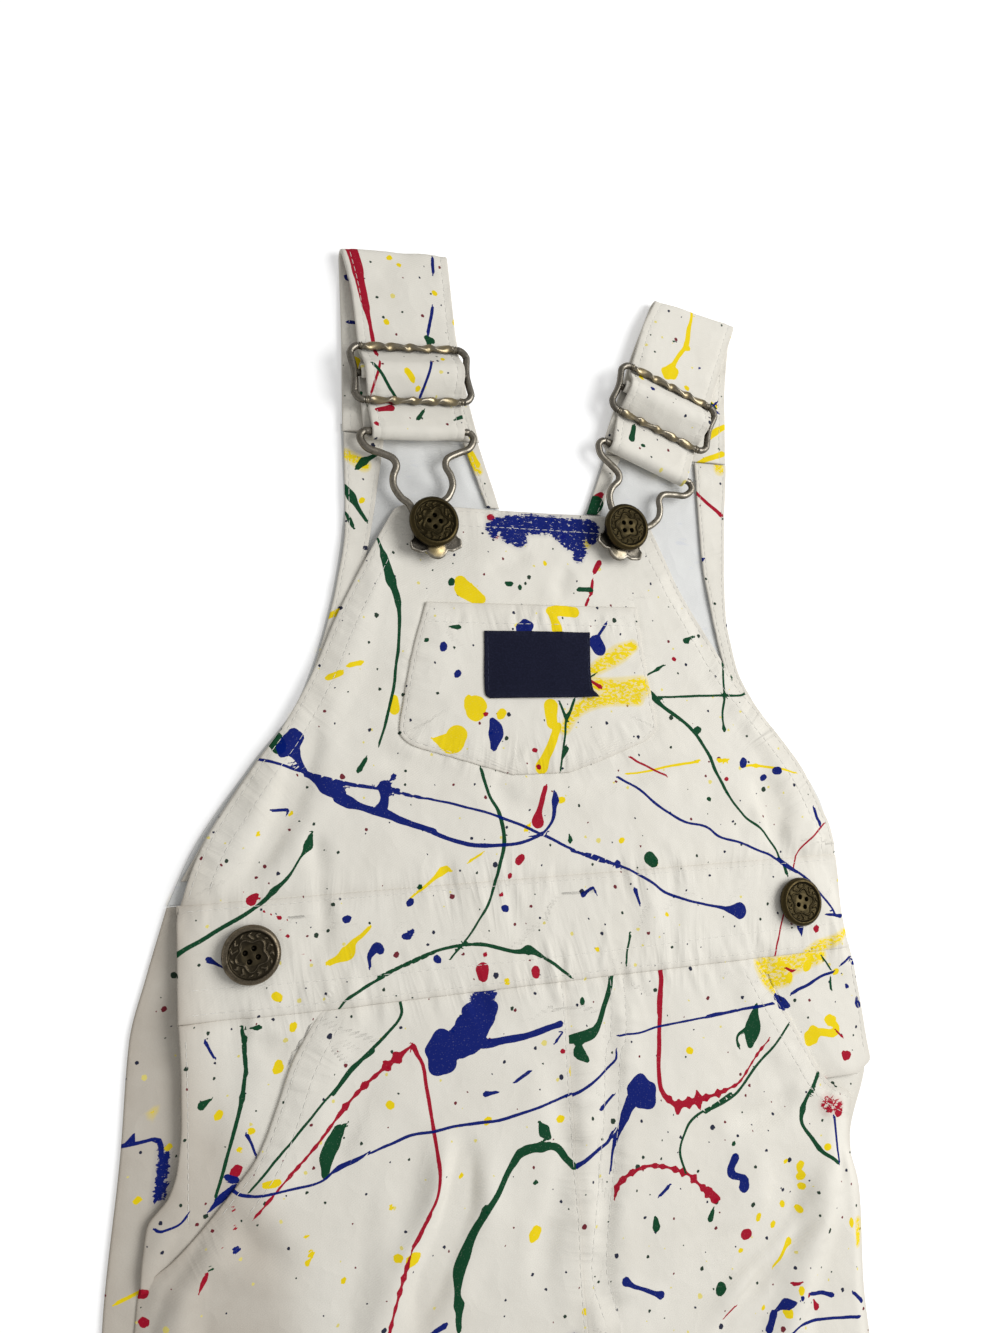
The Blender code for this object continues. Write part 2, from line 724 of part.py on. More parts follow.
def plate(buckle, row):
    """Stamped plate under the head, over the wire, with a hole for the shank and a tongue."""
    name = "keeper_" + buckle.side
    wall_low = HOOK_LOW_Z + WIRE + GAP
    tongue = [(PLATE_TONGUE * math.cos(a), -PLATE_TONGUE_LOW + PLATE_TONGUE * (1.0 + math.sin(a)))
              for a in (math.radians(d) for d in (-150.0, -120.0, -90.0, -60.0, -30.0))]
    half = [(PLATE_SIDE, PLATE_TOP), (PLATE_SIDE, PLATE_TOP - PLATE_FLARE), (PLATE_HALF, -PLATE_FLARE),
            (PLATE_TONGUE + PLATE_NOTCH, -PLATE_FLARE + PLATE_NOTCH / 2)]
    outline = [(-u, v) for u, v in half] + tongue + list(reversed(half))
    outer = plate_ring([Vector((u + PLATE_SHIFT, v)) for u, v in outline])
    inner = [spot.normalized() * (SHANK + GAP) for spot in outer]
    mesh = bpy.data.meshes.new(name)
    work = bmesh.new()
    rings = []
    for z, ring in ((0.0, inner), (0.0, outer), (PLATE_WALL, outer), (PLATE_WALL, inner)):
        spots = [from_plate(buckle, row, spot.x, spot.y, wall_low + z) for spot in ring]
        rings.append([work.verts.new(to_metres(spot)) for spot in spots])
    for low, high in zip(rings, rings[1:] + rings[:1]):
        for k in range(len(low)):
            j = (k + 1) % len(low)
            work.faces.new((low[k], low[j], high[j], high[k]))
    bmesh.ops.recalc_face_normals(work, faces=work.faces)
    bmesh.ops.triangulate(work, faces=work.faces, quad_method="SHORT_EDGE")
    work.to_mesh(mesh)
    work.free()
    return add_object(name, mesh, NICKEL)


def from_plate(buckle, row, u, v, z):
    """A point of the plate, set square to the strap round the button's shank."""
    _, across, along = strap_frame(buckle)
    spot = Vector((row.x, row.y)) + across * u + along * v
    return spot.x, spot.y, z


def to_metres(point):
    x, y, z = point
    return (x * MM, (y + WAIST_Y) * MM, z * MM)


def build():
    clear_scene()
    slab("back_leg_left", plan_by_level(BACK_LEG_LEFT, 4), on_table, CLOTH, FABRIC_PRINT)
    slab("back_leg_right", plan_by_level(BACK_LEG_RIGHT, 4), on_table, CLOTH, FABRIC_PRINT)
    slab("back_yoke_left", plan_by_level(BACK_YOKE_LEFT, 4), on_table, CLOTH, FABRIC_BACK)
    slab("back_yoke_right", plan_by_level(BACK_YOKE_RIGHT, 4), on_table, CLOTH, FABRIC_BACK)
    facings = {
        "armhole_facing_left": ARMHOLE_FACING_LEFT,
        "armhole_facing_right": ARMHOLE_FACING_RIGHT,
        "neck_facing_left": NECK_FACING_LEFT,
        "neck_facing_right": NECK_FACING_RIGHT,
    }
    for name, table in facings.items():
        slab(name, plan_by_level(table, 1), on_back, TRIM, FABRIC_PRINT)
    slab("hip_left", plan_by_level(HIP_LEFT, 4), on_back, CLOTH, FABRIC_PRINT)
    slab("hip_right", plan_by_level(HIP_RIGHT, 4), on_back, CLOTH, FABRIC_PRINT)
    slab("front_leg_left", plan_by_level(FRONT_LEG_LEFT, 10), leg_base, CLOTH, FABRIC_PRINT)
    slab("front_leg_right", plan_by_level(FRONT_LEG_RIGHT, 10), leg_base, CLOTH, FABRIC_PRINT)
    slab("waistband", plan_by_station(WAISTBAND, 3), bib_base, CLOTH, FABRIC_PRINT)
    slab("bib", plan_by_level(BIB, 16), bib_base, CLOTH, FABRIC_PRINT)
    slab("bib_pocket", plan_by_level(BIB_POCKET, 8), pocket_base, CLOTH, FABRIC_PRINT)
    slab("label", plan_by_level(LABEL, 3), label_base, TRIM, FABRIC_NAVY)
    for row in BUTTONS:
        button(row)
    for buckle, row in zip(BUCKLES, BUTTONS):
        band(buckle)
        hook_wire(buckle)
        slider(buckle)
        plate(buckle, row)


build()
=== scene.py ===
# Infant's bib overalls with a spatter print, laid flat with both straps fastened.
# Lengths are millimetres from the side buttons' line, until newMesh turns them into metres.
import math

import bpy
import numpy as np
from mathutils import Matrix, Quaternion, Vector


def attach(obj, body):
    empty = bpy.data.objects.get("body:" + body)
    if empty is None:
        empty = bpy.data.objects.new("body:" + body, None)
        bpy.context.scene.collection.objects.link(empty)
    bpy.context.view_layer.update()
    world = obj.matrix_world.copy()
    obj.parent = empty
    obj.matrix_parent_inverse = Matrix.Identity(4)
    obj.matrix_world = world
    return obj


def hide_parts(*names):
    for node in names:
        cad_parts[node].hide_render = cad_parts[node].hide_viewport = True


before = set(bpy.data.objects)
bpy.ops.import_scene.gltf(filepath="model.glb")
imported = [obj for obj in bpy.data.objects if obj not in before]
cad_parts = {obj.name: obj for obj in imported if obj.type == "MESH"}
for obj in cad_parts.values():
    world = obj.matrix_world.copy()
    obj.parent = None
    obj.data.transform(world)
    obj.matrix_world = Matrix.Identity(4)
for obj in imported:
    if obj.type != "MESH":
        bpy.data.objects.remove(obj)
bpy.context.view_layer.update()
scene = bpy.context.scene
mm = 0.001
waistY = 52.0  # the side buttons' line, above the middle of the whole length
print("frame loaded:", len(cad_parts), "nodes")

view = {
    "place": (-0.1209, 0.0793, 0.2775),
    "turn": (10.0, -21.1, -1.7),  # degrees about x, y and z, as one turn
    "lens": 27.0,
    "sensor": 36.0,
    "near": 0.01,
}


def makeCamera():
    data = bpy.data.cameras.new("camera")
    data.lens = view["lens"]
    data.sensor_width = view["sensor"]
    data.clip_start = view["near"]
    item = bpy.data.objects.new("camera", data)
    turn = Vector([math.radians(a) for a in view["turn"]])
    item.matrix_world = Quaternion(turn.normalized(), turn.length).to_matrix().to_4x4()
    item.location = view["place"]
    scene.collection.objects.link(item)
    scene.camera = item
    scene.view_settings.view_transform = "Standard"


makeCamera()
print("camera set")


def operator(operation, swapped=False):
    # one of a wire's own operators, as a math node
    def apply(self, other=0.0):
        return self.recipe.math(operation, *((other, self) if swapped else (self, other)))
    return apply


class Wire:
    # a socket that adds, subtracts, multiplies and divides like a number
    def __init__(self, recipe, socket):
        self.recipe = recipe
        self.socket = socket

    __add__ = __radd__ = operator("ADD")
    __sub__, __rsub__ = operator("SUBTRACT"), operator("SUBTRACT", True)
    __mul__ = __rmul__ = operator("MULTIPLY")
    __truediv__ = operator("DIVIDE")
    __abs__ = operator("ABSOLUTE")

    def rise(self, low, high):
        # 0 below low, 1 above high and a smooth step between
        return self.recipe.node("ShaderNodeMapRange", {"interpolation_type": "SMOOTHSTEP"},
                                {0: self, 1: low, 2: high})


class Recipe:
    # a material, and the one way its nodes are made
    def __init__(self, name):
        self.material = bpy.data.materials.new(name)
        self.material.use_nodes = True
        self.tree = self.material.node_tree
        self.shader = self.tree.nodes["Principled BSDF"]

    def feed(self, socket, value):
        if isinstance(value, Wire):
            self.tree.links.new(value.socket, socket)
        else:
            socket.default_value = value

    def node(self, kind, settings=None, inputs=None, output=0):
        made = self.tree.nodes.new(kind)
        for key, value in (settings or {}).items():
            if key == "stops":
                ramp = made.color_ramp
                ramp.interpolation = "CONSTANT"
                for _ in value[2:]:
                    ramp.elements.new(1.0)
                for element, (place, colour) in zip(ramp.elements, value):
                    element.position = place
                    element.color = colour
            else:
                setattr(made, key, value)
        for key, value in (inputs or {}).items():
            self.feed(made.inputs[key], value)
        return Wire(self, made.outputs[output])

    def math(self, operation, first, second=0.0):
        return self.node("ShaderNodeMath", {"operation": operation}, {0: first, 1: second})

    def most(self, first, second):
        return self.math("MAXIMUM", first, second)

    def least(self, first, second):
        return self.math("MINIMUM", first, second)

    def mix(self, share, first, second):
        return self.node("ShaderNodeMix", {"data_type": "RGBA"}, {0: share, 6: first, 7: second}, 2)

    def place(self, shift=(0.0, 0.0, 0.0), turn=0.0, stretch=(1.0, 1.0, 1.0)):
        spot = self.node("ShaderNodeTexCoord", output="Object")
        return self.node("ShaderNodeMapping", {}, {"Vector": spot, "Location": shift,
                         "Rotation": (0.0, 0.0, math.radians(turn)), "Scale": stretch})

    def noise(self, size, place, detail, rough=0.5):
        # size is the length of one blotch, in millimetres
        return self.node("ShaderNodeTexNoise", {}, {"Vector": place, "Scale": 1.0 / (size * mm),
                         "Detail": detail, "Roughness": rough})

    def ribs(self, direction, place, gap, wander, detailScale=1.0):
        # waves a gap apart, in millimetres; a wave texture of scale 1 repeats every 0.31 m
        return self.node("ShaderNodeTexWave", {"wave_type": "BANDS", "bands_direction": direction},
                         {"Vector": place, "Scale": 0.31 / (gap * mm), "Distortion": wander, "Detail": 1.0,
                          "Detail Scale": detailScale})

    def parts(self, name):
        # an attribute's three numbers
        carried = self.node("ShaderNodeAttribute", {"attribute_name": name}, output="Vector")
        split = self.tree.nodes.new("ShaderNodeSeparateXYZ")
        self.feed(split.inputs[0], carried)
        return [Wire(self, socket) for socket in split.outputs]

    def bump(self, height, strength, distance):
        # height runs from 0 to 1 over the distance, in millimetres
        return self.node("ShaderNodeBump", {}, {"Height": height, "Strength": strength,
                         "Distance": distance * mm})

    def finish(self, inputs):
        for key, value in inputs.items():
            self.feed(self.shader.inputs[key], value)
        return self.material


inkColours = {
    "blue": (0.001, 0.010, 0.150, 1.0),
    "green": (0.001, 0.054, 0.019, 1.0),
    "red": (0.360, 0.003, 0.022, 1.0),
    "yellow": (0.830, 0.630, 0.005, 1.0),
}
clothLook = {
    "right": (0.775, 0.746, 0.672, 1.0),
    "rightWorn": (0.725, 0.690, 0.610, 1.0),
    "wrong": (0.735, 0.738, 0.722, 1.0),
    "wrongWorn": (0.680, 0.682, 0.672, 1.0),
    "ghost": (0.500, 0.540, 0.690, 1.0),  # the print, seen through from behind
    "tan": (0.560, 0.400, 0.190, 1.0),
    # the warm dark tint used for painted shade on the left side and along the rims, where it also stands for
    # edge wear
    "shadeAndWear": (0.370, 0.310, 0.245, 1.0),
    "flute": 0.62,     # height of the small ridges drawn beside a seam, for each millimetre of its pull
    "crumple": 0.30,   # height of the faint creases all over
    "ribs": 0.62,      # from one diagonal rib of the weave to the next
    "rim": 0.05,       # half of the soft rim of a stroke
    "ragged": 0.13,    # how far a stroke's rim wanders
    "lumps": 0.15,     # how far its width swells, as a share
    "solid": 0.99,     # how much of the cloth the paint hides, less what the threads show
    "shine": 0.05,
    "groove": 0.55,    # half-width of the dent along a row of stitches
    "smears": {"blue": 0.64, "red": 0.55, "yellow": 0.56},  # how solid a dry smear's middle is
    "washes": {"blue": 0.12, "red": 0.12, "yellow": 0.45},  # how strong the thin stain under it is
}
tapeLook = {
    "ribs": 0.55,
    "deep": (0.005, 0.006, 0.018, 1.0),
    "pale": (0.014, 0.016, 0.040, 1.0),
    "fuzz": (0.10, 0.11, 0.17, 1.0),
}
# Small drops in each square of the print: its side, least and most radius, and the share that shows.
dropSizes = [
    {"pitch": 4.8, "least": 0.20, "most": 0.48, "share": 0.34, "shift": 0.3},
    {"pitch": 10.0, "least": 0.42, "most": 0.85, "share": 0.36, "shift": 0.7},
]
dropColours = [(0.0, (0.006, 0.011, 0.040, 1.0)), (0.30, (0.006, 0.030, 0.016, 1.0)),
               (0.58, (0.150, 0.006, 0.018, 1.0)), (0.76, (0.760, 0.660, 0.190, 1.0))]


def weaveHeight(recipe):
    # fine diagonal ribs with slubs: a sine across lines at about 60 degrees, and two noises
    spot = recipe.place(turn=62.0)
    ribs = recipe.ribs("X", spot, clothLook["ribs"], 0.8, 2.0)
    return ribs * 0.22 + recipe.noise(0.45, spot, 3.0) * 0.35 + recipe.noise(2.4, spot, 2.0) * 0.4


def stitchDent(recipe):
    # a round-bottomed dent along the rows of stitches, 0 away from them and -1 along them
    side, far, _ = recipe.parts("seam")
    across = (abs(side) / clothLook["groove"]).rise(0.0, 1.0) - 1.0
    return across * (1.0 - (far - 1.0).rise(0.0, 0.4))


def clothHeight(recipe):
    # millimetres: weave and stitch dents, creases where a noise turns, and ridges that cross the seams
    along, off, pull = recipe.parts("flute")
    joined = recipe.node("ShaderNodeCombineXYZ", {}, {0: along * mm, 1: off * (0.16 * mm), 2: 0.0})
    ridge = 1.0 - abs(recipe.noise(2.6, joined, 1.0) * 2.0 - 1.0) * 2.0
    swell = recipe.noise(4.6, joined, 0.0) * 2.0 - 1.0
    turned = 1.0 - abs(recipe.noise(11.0, recipe.place(turn=20.0), 2.0) * 2.0 - 1.0)
    return (weaveHeight(recipe) * 0.10 + stitchDent(recipe) * 0.04
            + (ridge * 0.55 + swell * 1.9) * pull * clothLook["flute"] + turned * clothLook["crumple"])


def drops(recipe, colour, clear):
    # one round drop in some of the squares of two grids, each with its own colour and radius
    for size in dropSizes:
        place = recipe.place((size["shift"] * 0.01, size["shift"] * 0.004, 0.0), 24.0)
        shake = recipe.node("ShaderNodeTexNoise", {}, {"Vector": place, "Scale": 1300.0,
                            "Detail": 1.0}, "Color")
        shake = recipe.node("ShaderNodeVectorMath", {"operation": "SCALE"}, {0: shake, "Scale": 0.0006})
        place = recipe.node("ShaderNodeVectorMath", {"operation": "ADD"}, {0: place, 1: shake})
        cells = recipe.node("ShaderNodeTexVoronoi", {"voronoi_dimensions": "2D"},
                            {"Vector": place, "Scale": 1.0 / (size["pitch"] * mm)})
        chance = recipe.tree.nodes.new("ShaderNodeSeparateColor")
        recipe.feed(chance.inputs[0], Wire(recipe, cells.socket.node.outputs["Color"]))
        shows, dye, big = [Wire(recipe, socket) for socket in chance.outputs]
        radius = (big * big * (size["most"] - size["least"]) + size["least"]) / size["pitch"]
        inside = (radius - cells).rise(-0.06 / size["pitch"], 0.06 / size["pitch"])
        inside = inside * recipe.math("LESS_THAN", shows, size["share"]) * clear
        dye = recipe.node("ShaderNodeValToRGB", {"stops": dropColours}, {0: dye})
        colour = recipe.mix(inside * 0.97, colour, dye)
    return colour


def finishCloth(recipe, colour, rough):
    normal = recipe.bump(clothHeight(recipe), 1.0, 1.0)
    return recipe.finish({"Base Color": colour, "Roughness": rough, "Normal": normal,
                          "Specular IOR Level": clothLook["shine"]})


def printedCloth():
    # cotton with soft tone, edge wear and painted shade towards the rims and on the left side, drops, dry
    # smears and drips laid over it, and the weave on top
    recipe = Recipe("printedTwill")
    spot = recipe.place()
    wornAndShaded, stained, clear = recipe.parts("wear")
    tone = recipe.noise(15.0, spot, 3.0).rise(0.35, 0.75)
    colour = recipe.mix(tone * 0.4, clothLook["right"], clothLook["rightWorn"])
    # painted shade: the cloth turns towards that tint where the first wear mark is high, with edge wear at
    # the rims
    colour = recipe.mix(wornAndShaded * (recipe.noise(9.0, spot, 3.0) * 0.5 + 0.75), colour, clothLook["shadeAndWear"])
    colour = recipe.mix(stained, colour, clothLook["tan"])
    colour = drops(recipe, colour, clear)
    ragged = (recipe.noise(0.9, spot, 2.0) - 0.5) * clothLook["ragged"]
    lumpy = (recipe.noise(3.6, spot, 1.0) - 0.5) * clothLook["lumps"] + 1.0
    mottle = recipe.noise(1.5, recipe.place(turn=35.0, stretch=(1.0, 1.9, 1.0)), 4.0, 0.7)
    thread = recipe.noise(0.40, spot, 1.0).rise(0.62, 0.82) * 0.14
    smear = dict(zip(("blue", "red", "yellow"), recipe.parts("smear")))
    for dye in ("yellow", "red", "green", "blue"):
        side, far, wide = recipe.parts("ink" + dye.capitalize())
        edge = wide * lumpy + ragged
        # a thin line's distance is known less well than its offset
        spare = 0.60 - wide.rise(0.55, 1.0) * 0.57
        cover = recipe.least(edge - abs(side), edge + spare - far).rise(-clothLook["rim"], clothLook["rim"])
        cover = cover * (wide * 10.0).rise(0.5, 1.5)
        if dye in smear:
            torn = (smear[dye] * clothLook["smears"][dye] - mottle).rise(-0.02, 0.04)
            wash = smear[dye].rise(0.15, 0.7) * clothLook["washes"][dye]
            cover = recipe.most(cover, recipe.most(torn, wash))
        colour = recipe.mix(cover * (clothLook["solid"] - thread), colour, inkColours[dye])
    return finishCloth(recipe, colour, 0.88)


def wrongSide():
    # paler, bluish twill with the print showing through as faint blotches
    recipe = Recipe("twillWrongSide")
    spot = recipe.place()
    tone = recipe.noise(12.0, spot, 3.0).rise(0.35, 0.75)
    colour = recipe.mix(tone * 0.5, clothLook["wrong"], clothLook["wrongWorn"])
    ghost = recipe.noise(6.0, recipe.place((0.2, 0.1, 0.0), 35.0, (1.0, 3.2, 1.0)), 3.0, 0.6)
    colour = recipe.mix(ghost.rise(0.60, 0.72) * 0.22, colour, clothLook["ghost"])
    _, stained, _ = recipe.parts("wear")
    colour = recipe.mix(stained, colour, clothLook["tan"])
    return finishCloth(recipe, colour, 0.9)


def navyWeave():
    # tight navy tape: fine ribs across it, and paler fuzz that gathers along the edges
    recipe = Recipe("navyTape")
    spot = recipe.place()
    wornAndShaded, _, _ = recipe.parts("wear")
    fuzz = recipe.noise(0.5, spot, 3.0, 0.7)
    ribs = recipe.ribs("Y", spot, tapeLook["ribs"], 0.5)
    colour = recipe.mix(fuzz.rise(0.35, 0.75) * 0.6, tapeLook["deep"], tapeLook["pale"])
    colour = recipe.mix(wornAndShaded * fuzz.rise(0.35, 0.65) * 0.35, colour, tapeLook["fuzz"])
    return recipe.finish({"Base Color": colour, "Roughness": 0.85, "Specular IOR Level": 0.12,
                          "Normal": recipe.bump(ribs * 0.5 + fuzz * 0.5, 0.5, 0.12), "Sheen Weight": 0.02})


def threadLook(name, colour):
    recipe = Recipe(name)
    fuzz = recipe.noise(0.3, recipe.place(), 2.0)
    shaded = tuple(0.8 * part for part in colour)
    return recipe.finish({"Base Color": recipe.mix(fuzz, (*colour, 1.0), (*shaded, 1.0)),
                          "Roughness": 0.75, "Normal": recipe.bump(fuzz, 0.4, 0.05)})


# The metals: name, bare, dulled and tarnished colour, roughness, and how much rougher the patches are.
metals = {
    "nickel": ("agedNickel", (0.24, 0.218, 0.182, 1.0), (0.085, 0.075, 0.060, 1.0),
               (0.050, 0.042, 0.030, 1.0), 0.26, 0.28),
    "brass": ("darkBrass", (0.052, 0.038, 0.015, 1.0), (0.009, 0.007, 0.003, 1.0),
              (0.010, 0.008, 0.004, 1.0), 0.30, 0.25),
    "greyBrass": ("greyedBrass", (0.20, 0.165, 0.120, 1.0), (0.022, 0.018, 0.013, 1.0),
                  (0.020, 0.017, 0.012, 1.0), 0.28, 0.28),
}
brassTint = (0.40, 0.31, 0.15, 1.0)  # where the plating has worn through


def metalLook(name, bright, dull, tarnish, shine, scuffs):
    # bare metal where the first mark is high, dulled in the hollows, with patches of tarnish; on the hooks
    # and sliders that mark also paints highlight on the upper side and shade below
    recipe = Recipe(name)
    spot = recipe.place()
    wornAndShaded, brassy, _ = recipe.parts("wear")
    patch = recipe.noise(2.6, spot, 4.0, 0.65)
    grain = recipe.noise(0.35, spot, 3.0, 0.6)
    colour = recipe.mix((wornAndShaded + (grain - 0.5) * 0.5).rise(0.25, 0.8), dull, bright)
    colour = recipe.mix(patch.rise(0.48, 0.72) * 0.55, colour, tarnish)
    colour = recipe.mix(brassy, colour, brassTint)
    rough = patch.rise(0.35, 0.75) * scuffs + shine
    return recipe.finish({"Base Color": colour, "Metallic": 1.0, "Roughness": rough,
                          "Normal": recipe.bump(grain + patch * 0.6, 0.25, 0.06)})


looks = {
    "print": printedCloth(),
    "wrong": wrongSide(),
    "navy": navyWeave(),
    "thread": threadLook("whiteThread", (0.86, 0.84, 0.785)),
    "navyThread": threadLook("navyThread", (0.030, 0.036, 0.085)),
    **{key: metalLook(*metal) for key, metal in metals.items()},
}
print("materials made:", len(looks))


def easeTo(t):
    # a smooth step from 0 to 1
    t = np.clip(t, 0.0, 1.0)
    return t * t * (3.0 - 2.0 * t)


def column(rows, which, at):
    # cubic through a table's column over its first one, each slope the harmonic mean of the rises beside it
    table = np.asarray(rows, float)
    keys, values = table[:, 0], table[:, which]
    rises = np.diff(values) / np.diff(keys)
    slopes = np.concatenate([rises[:1], np.zeros(len(keys) - 2), rises[-1:]])
    both = rises[:-1] * rises[1:]
    total = rises[:-1] + rises[1:]
    slopes[1:-1] = np.where(both > 0.0, 2.0 * both / np.where(total == 0.0, 1.0, total), 0.0)
    at = np.clip(at, keys[0], keys[-1])
    i = np.clip(np.searchsorted(keys, at, side="right") - 1, 0, len(keys) - 2)
    span = keys[i + 1] - keys[i]
    t = (at - keys[i]) / span
    return (values[i] * (2 * t**3 - 3 * t**2 + 1) + slopes[i] * span * (t**3 - 2 * t**2 + t)
            + values[i + 1] * (3 * t**2 - 2 * t**3) + slopes[i + 1] * span * (t**3 - t**2))


def swells(x, y, size, seed):
    # smooth hills from -1 to 1: a random number at each corner of a square net, eased between them
    u = (x + 400.0) / size
    v = (y + 600.0) / size
    net = np.random.default_rng(seed).uniform(-1.0, 1.0, (int(1200 / size) + 3, int(1600 / size) + 3))
    i = np.floor(u).astype(int)
    j = np.floor(v).astype(int)
    a = easeTo(u - i)
    b = easeTo(v - j)
    low = net[i, j] * (1 - a) + net[i + 1, j] * a
    return low * (1 - b) + (net[i, j + 1] * (1 - a) + net[i + 1, j + 1] * a) * b


def hilly(x, y, base, hills):
    # a level with swells on it, each with its height, size and seed
    for height, size, seed in hills:
        base = base + height * swells(x, y, size, seed)
    return base


def ripples(s, size, seed):
    # the same along a line
    net = np.random.default_rng(seed).uniform(-1.0, 1.0, int(2000 / size) + 4)
    u = np.clip((s + 500.0) / size, 0, len(net) - 2)
    i = np.floor(u).astype(int)
    a = easeTo(u - i)
    return net[i] * (1 - a) + net[i + 1] * a


def curveThrough(points, step=1.0, ring=False):
    # Catmull-Rom curve through points of any size, about one step between its own points
    p = np.asarray(points, float)
    if len(p) < 3 and not ring:
        count = max(2, int(math.hypot(*(p[-1] - p[0])[:2]) / step) + 1)
        return p[0] + (p[-1] - p[0]) * np.linspace(0.0, 1.0, count)[:, None]
    if ring:
        p = np.concatenate([p[-1:], p, p[:2]])
    else:
        p = np.concatenate([2 * p[:1] - p[1:2], p, 2 * p[-1:] - p[-2:-1]])
    pieces = []
    for a, b, c, d in zip(p[:-3], p[1:-2], p[2:-1], p[3:]):
        t = np.linspace(0.0, 1.0, max(2, int(math.hypot(*(c - b)[:2]) / step) + 1), endpoint=False)[:, None]
        pieces.append(0.5 * (2 * b + (c - a) * t + (2 * a - 5 * b + 4 * c - d) * t**2
                             + (3 * b - a - 3 * c + d) * t**3))
    if not ring:
        pieces.append(p[-2:-1])
    return np.concatenate(pieces)


def lengths(path):
    # how far along a line of points each one lies
    steps = np.sqrt((np.diff(path, axis=0) ** 2).sum(1))
    return np.concatenate([[0.0], np.cumsum(steps)])


def toPath(x, y, path):
    # nearest point of a line to each point: signed offset, distance, length along, and its place in the list
    path = np.asarray(path, float)
    a = path[:-1, :2]
    run = path[1:, :2] - a
    span = np.maximum(np.hypot(run[:, 0], run[:, 1]), 1e-9)
    px = x[:, None] - a[:, 0]
    py = y[:, None] - a[:, 1]
    share = np.clip((px * run[:, 0] + py * run[:, 1]) / span**2, 0.0, 1.0)
    far = np.hypot(px - share * run[:, 0], py - share * run[:, 1])
    best = far.argmin(1)
    rows = np.arange(len(x))
    far, share = far[rows, best], share[rows, best]
    cross = run[best, 0] * py[rows, best] - run[best, 1] * px[rows, best]
    starts = np.concatenate([[0.0], np.cumsum(span)])
    return np.where(cross < 0.0, -far, far), far, starts[best] + share * span[best], best + share


def around(x, y, path, reach):
    # the points inside a line's box, grown by the reach, and what toPath tells of them
    path = np.asarray(path, float)
    spots = np.flatnonzero((x > path[:, 0].min() - reach) & (x < path[:, 0].max() + reach)
                           & (y > path[:, 1].min() - reach) & (y < path[:, 1].max() + reach))
    return spots, *toPath(x[spots], y[spots], path)


def onPath(path, run, at):
    # where on a line the given lengths along it fall
    return np.stack([np.interp(at, run, path[:, k]) for k in range(path.shape[1])], -1)


def leftNormal(line):
    # unit vectors to the left of a plane line, one at each of its points
    ahead = np.gradient(line, axis=0)
    ahead /= np.maximum(np.hypot(ahead[:, 0], ahead[:, 1]), 1e-9)[:, None]
    return np.stack([-ahead[:, 1], ahead[:, 0]], 1)


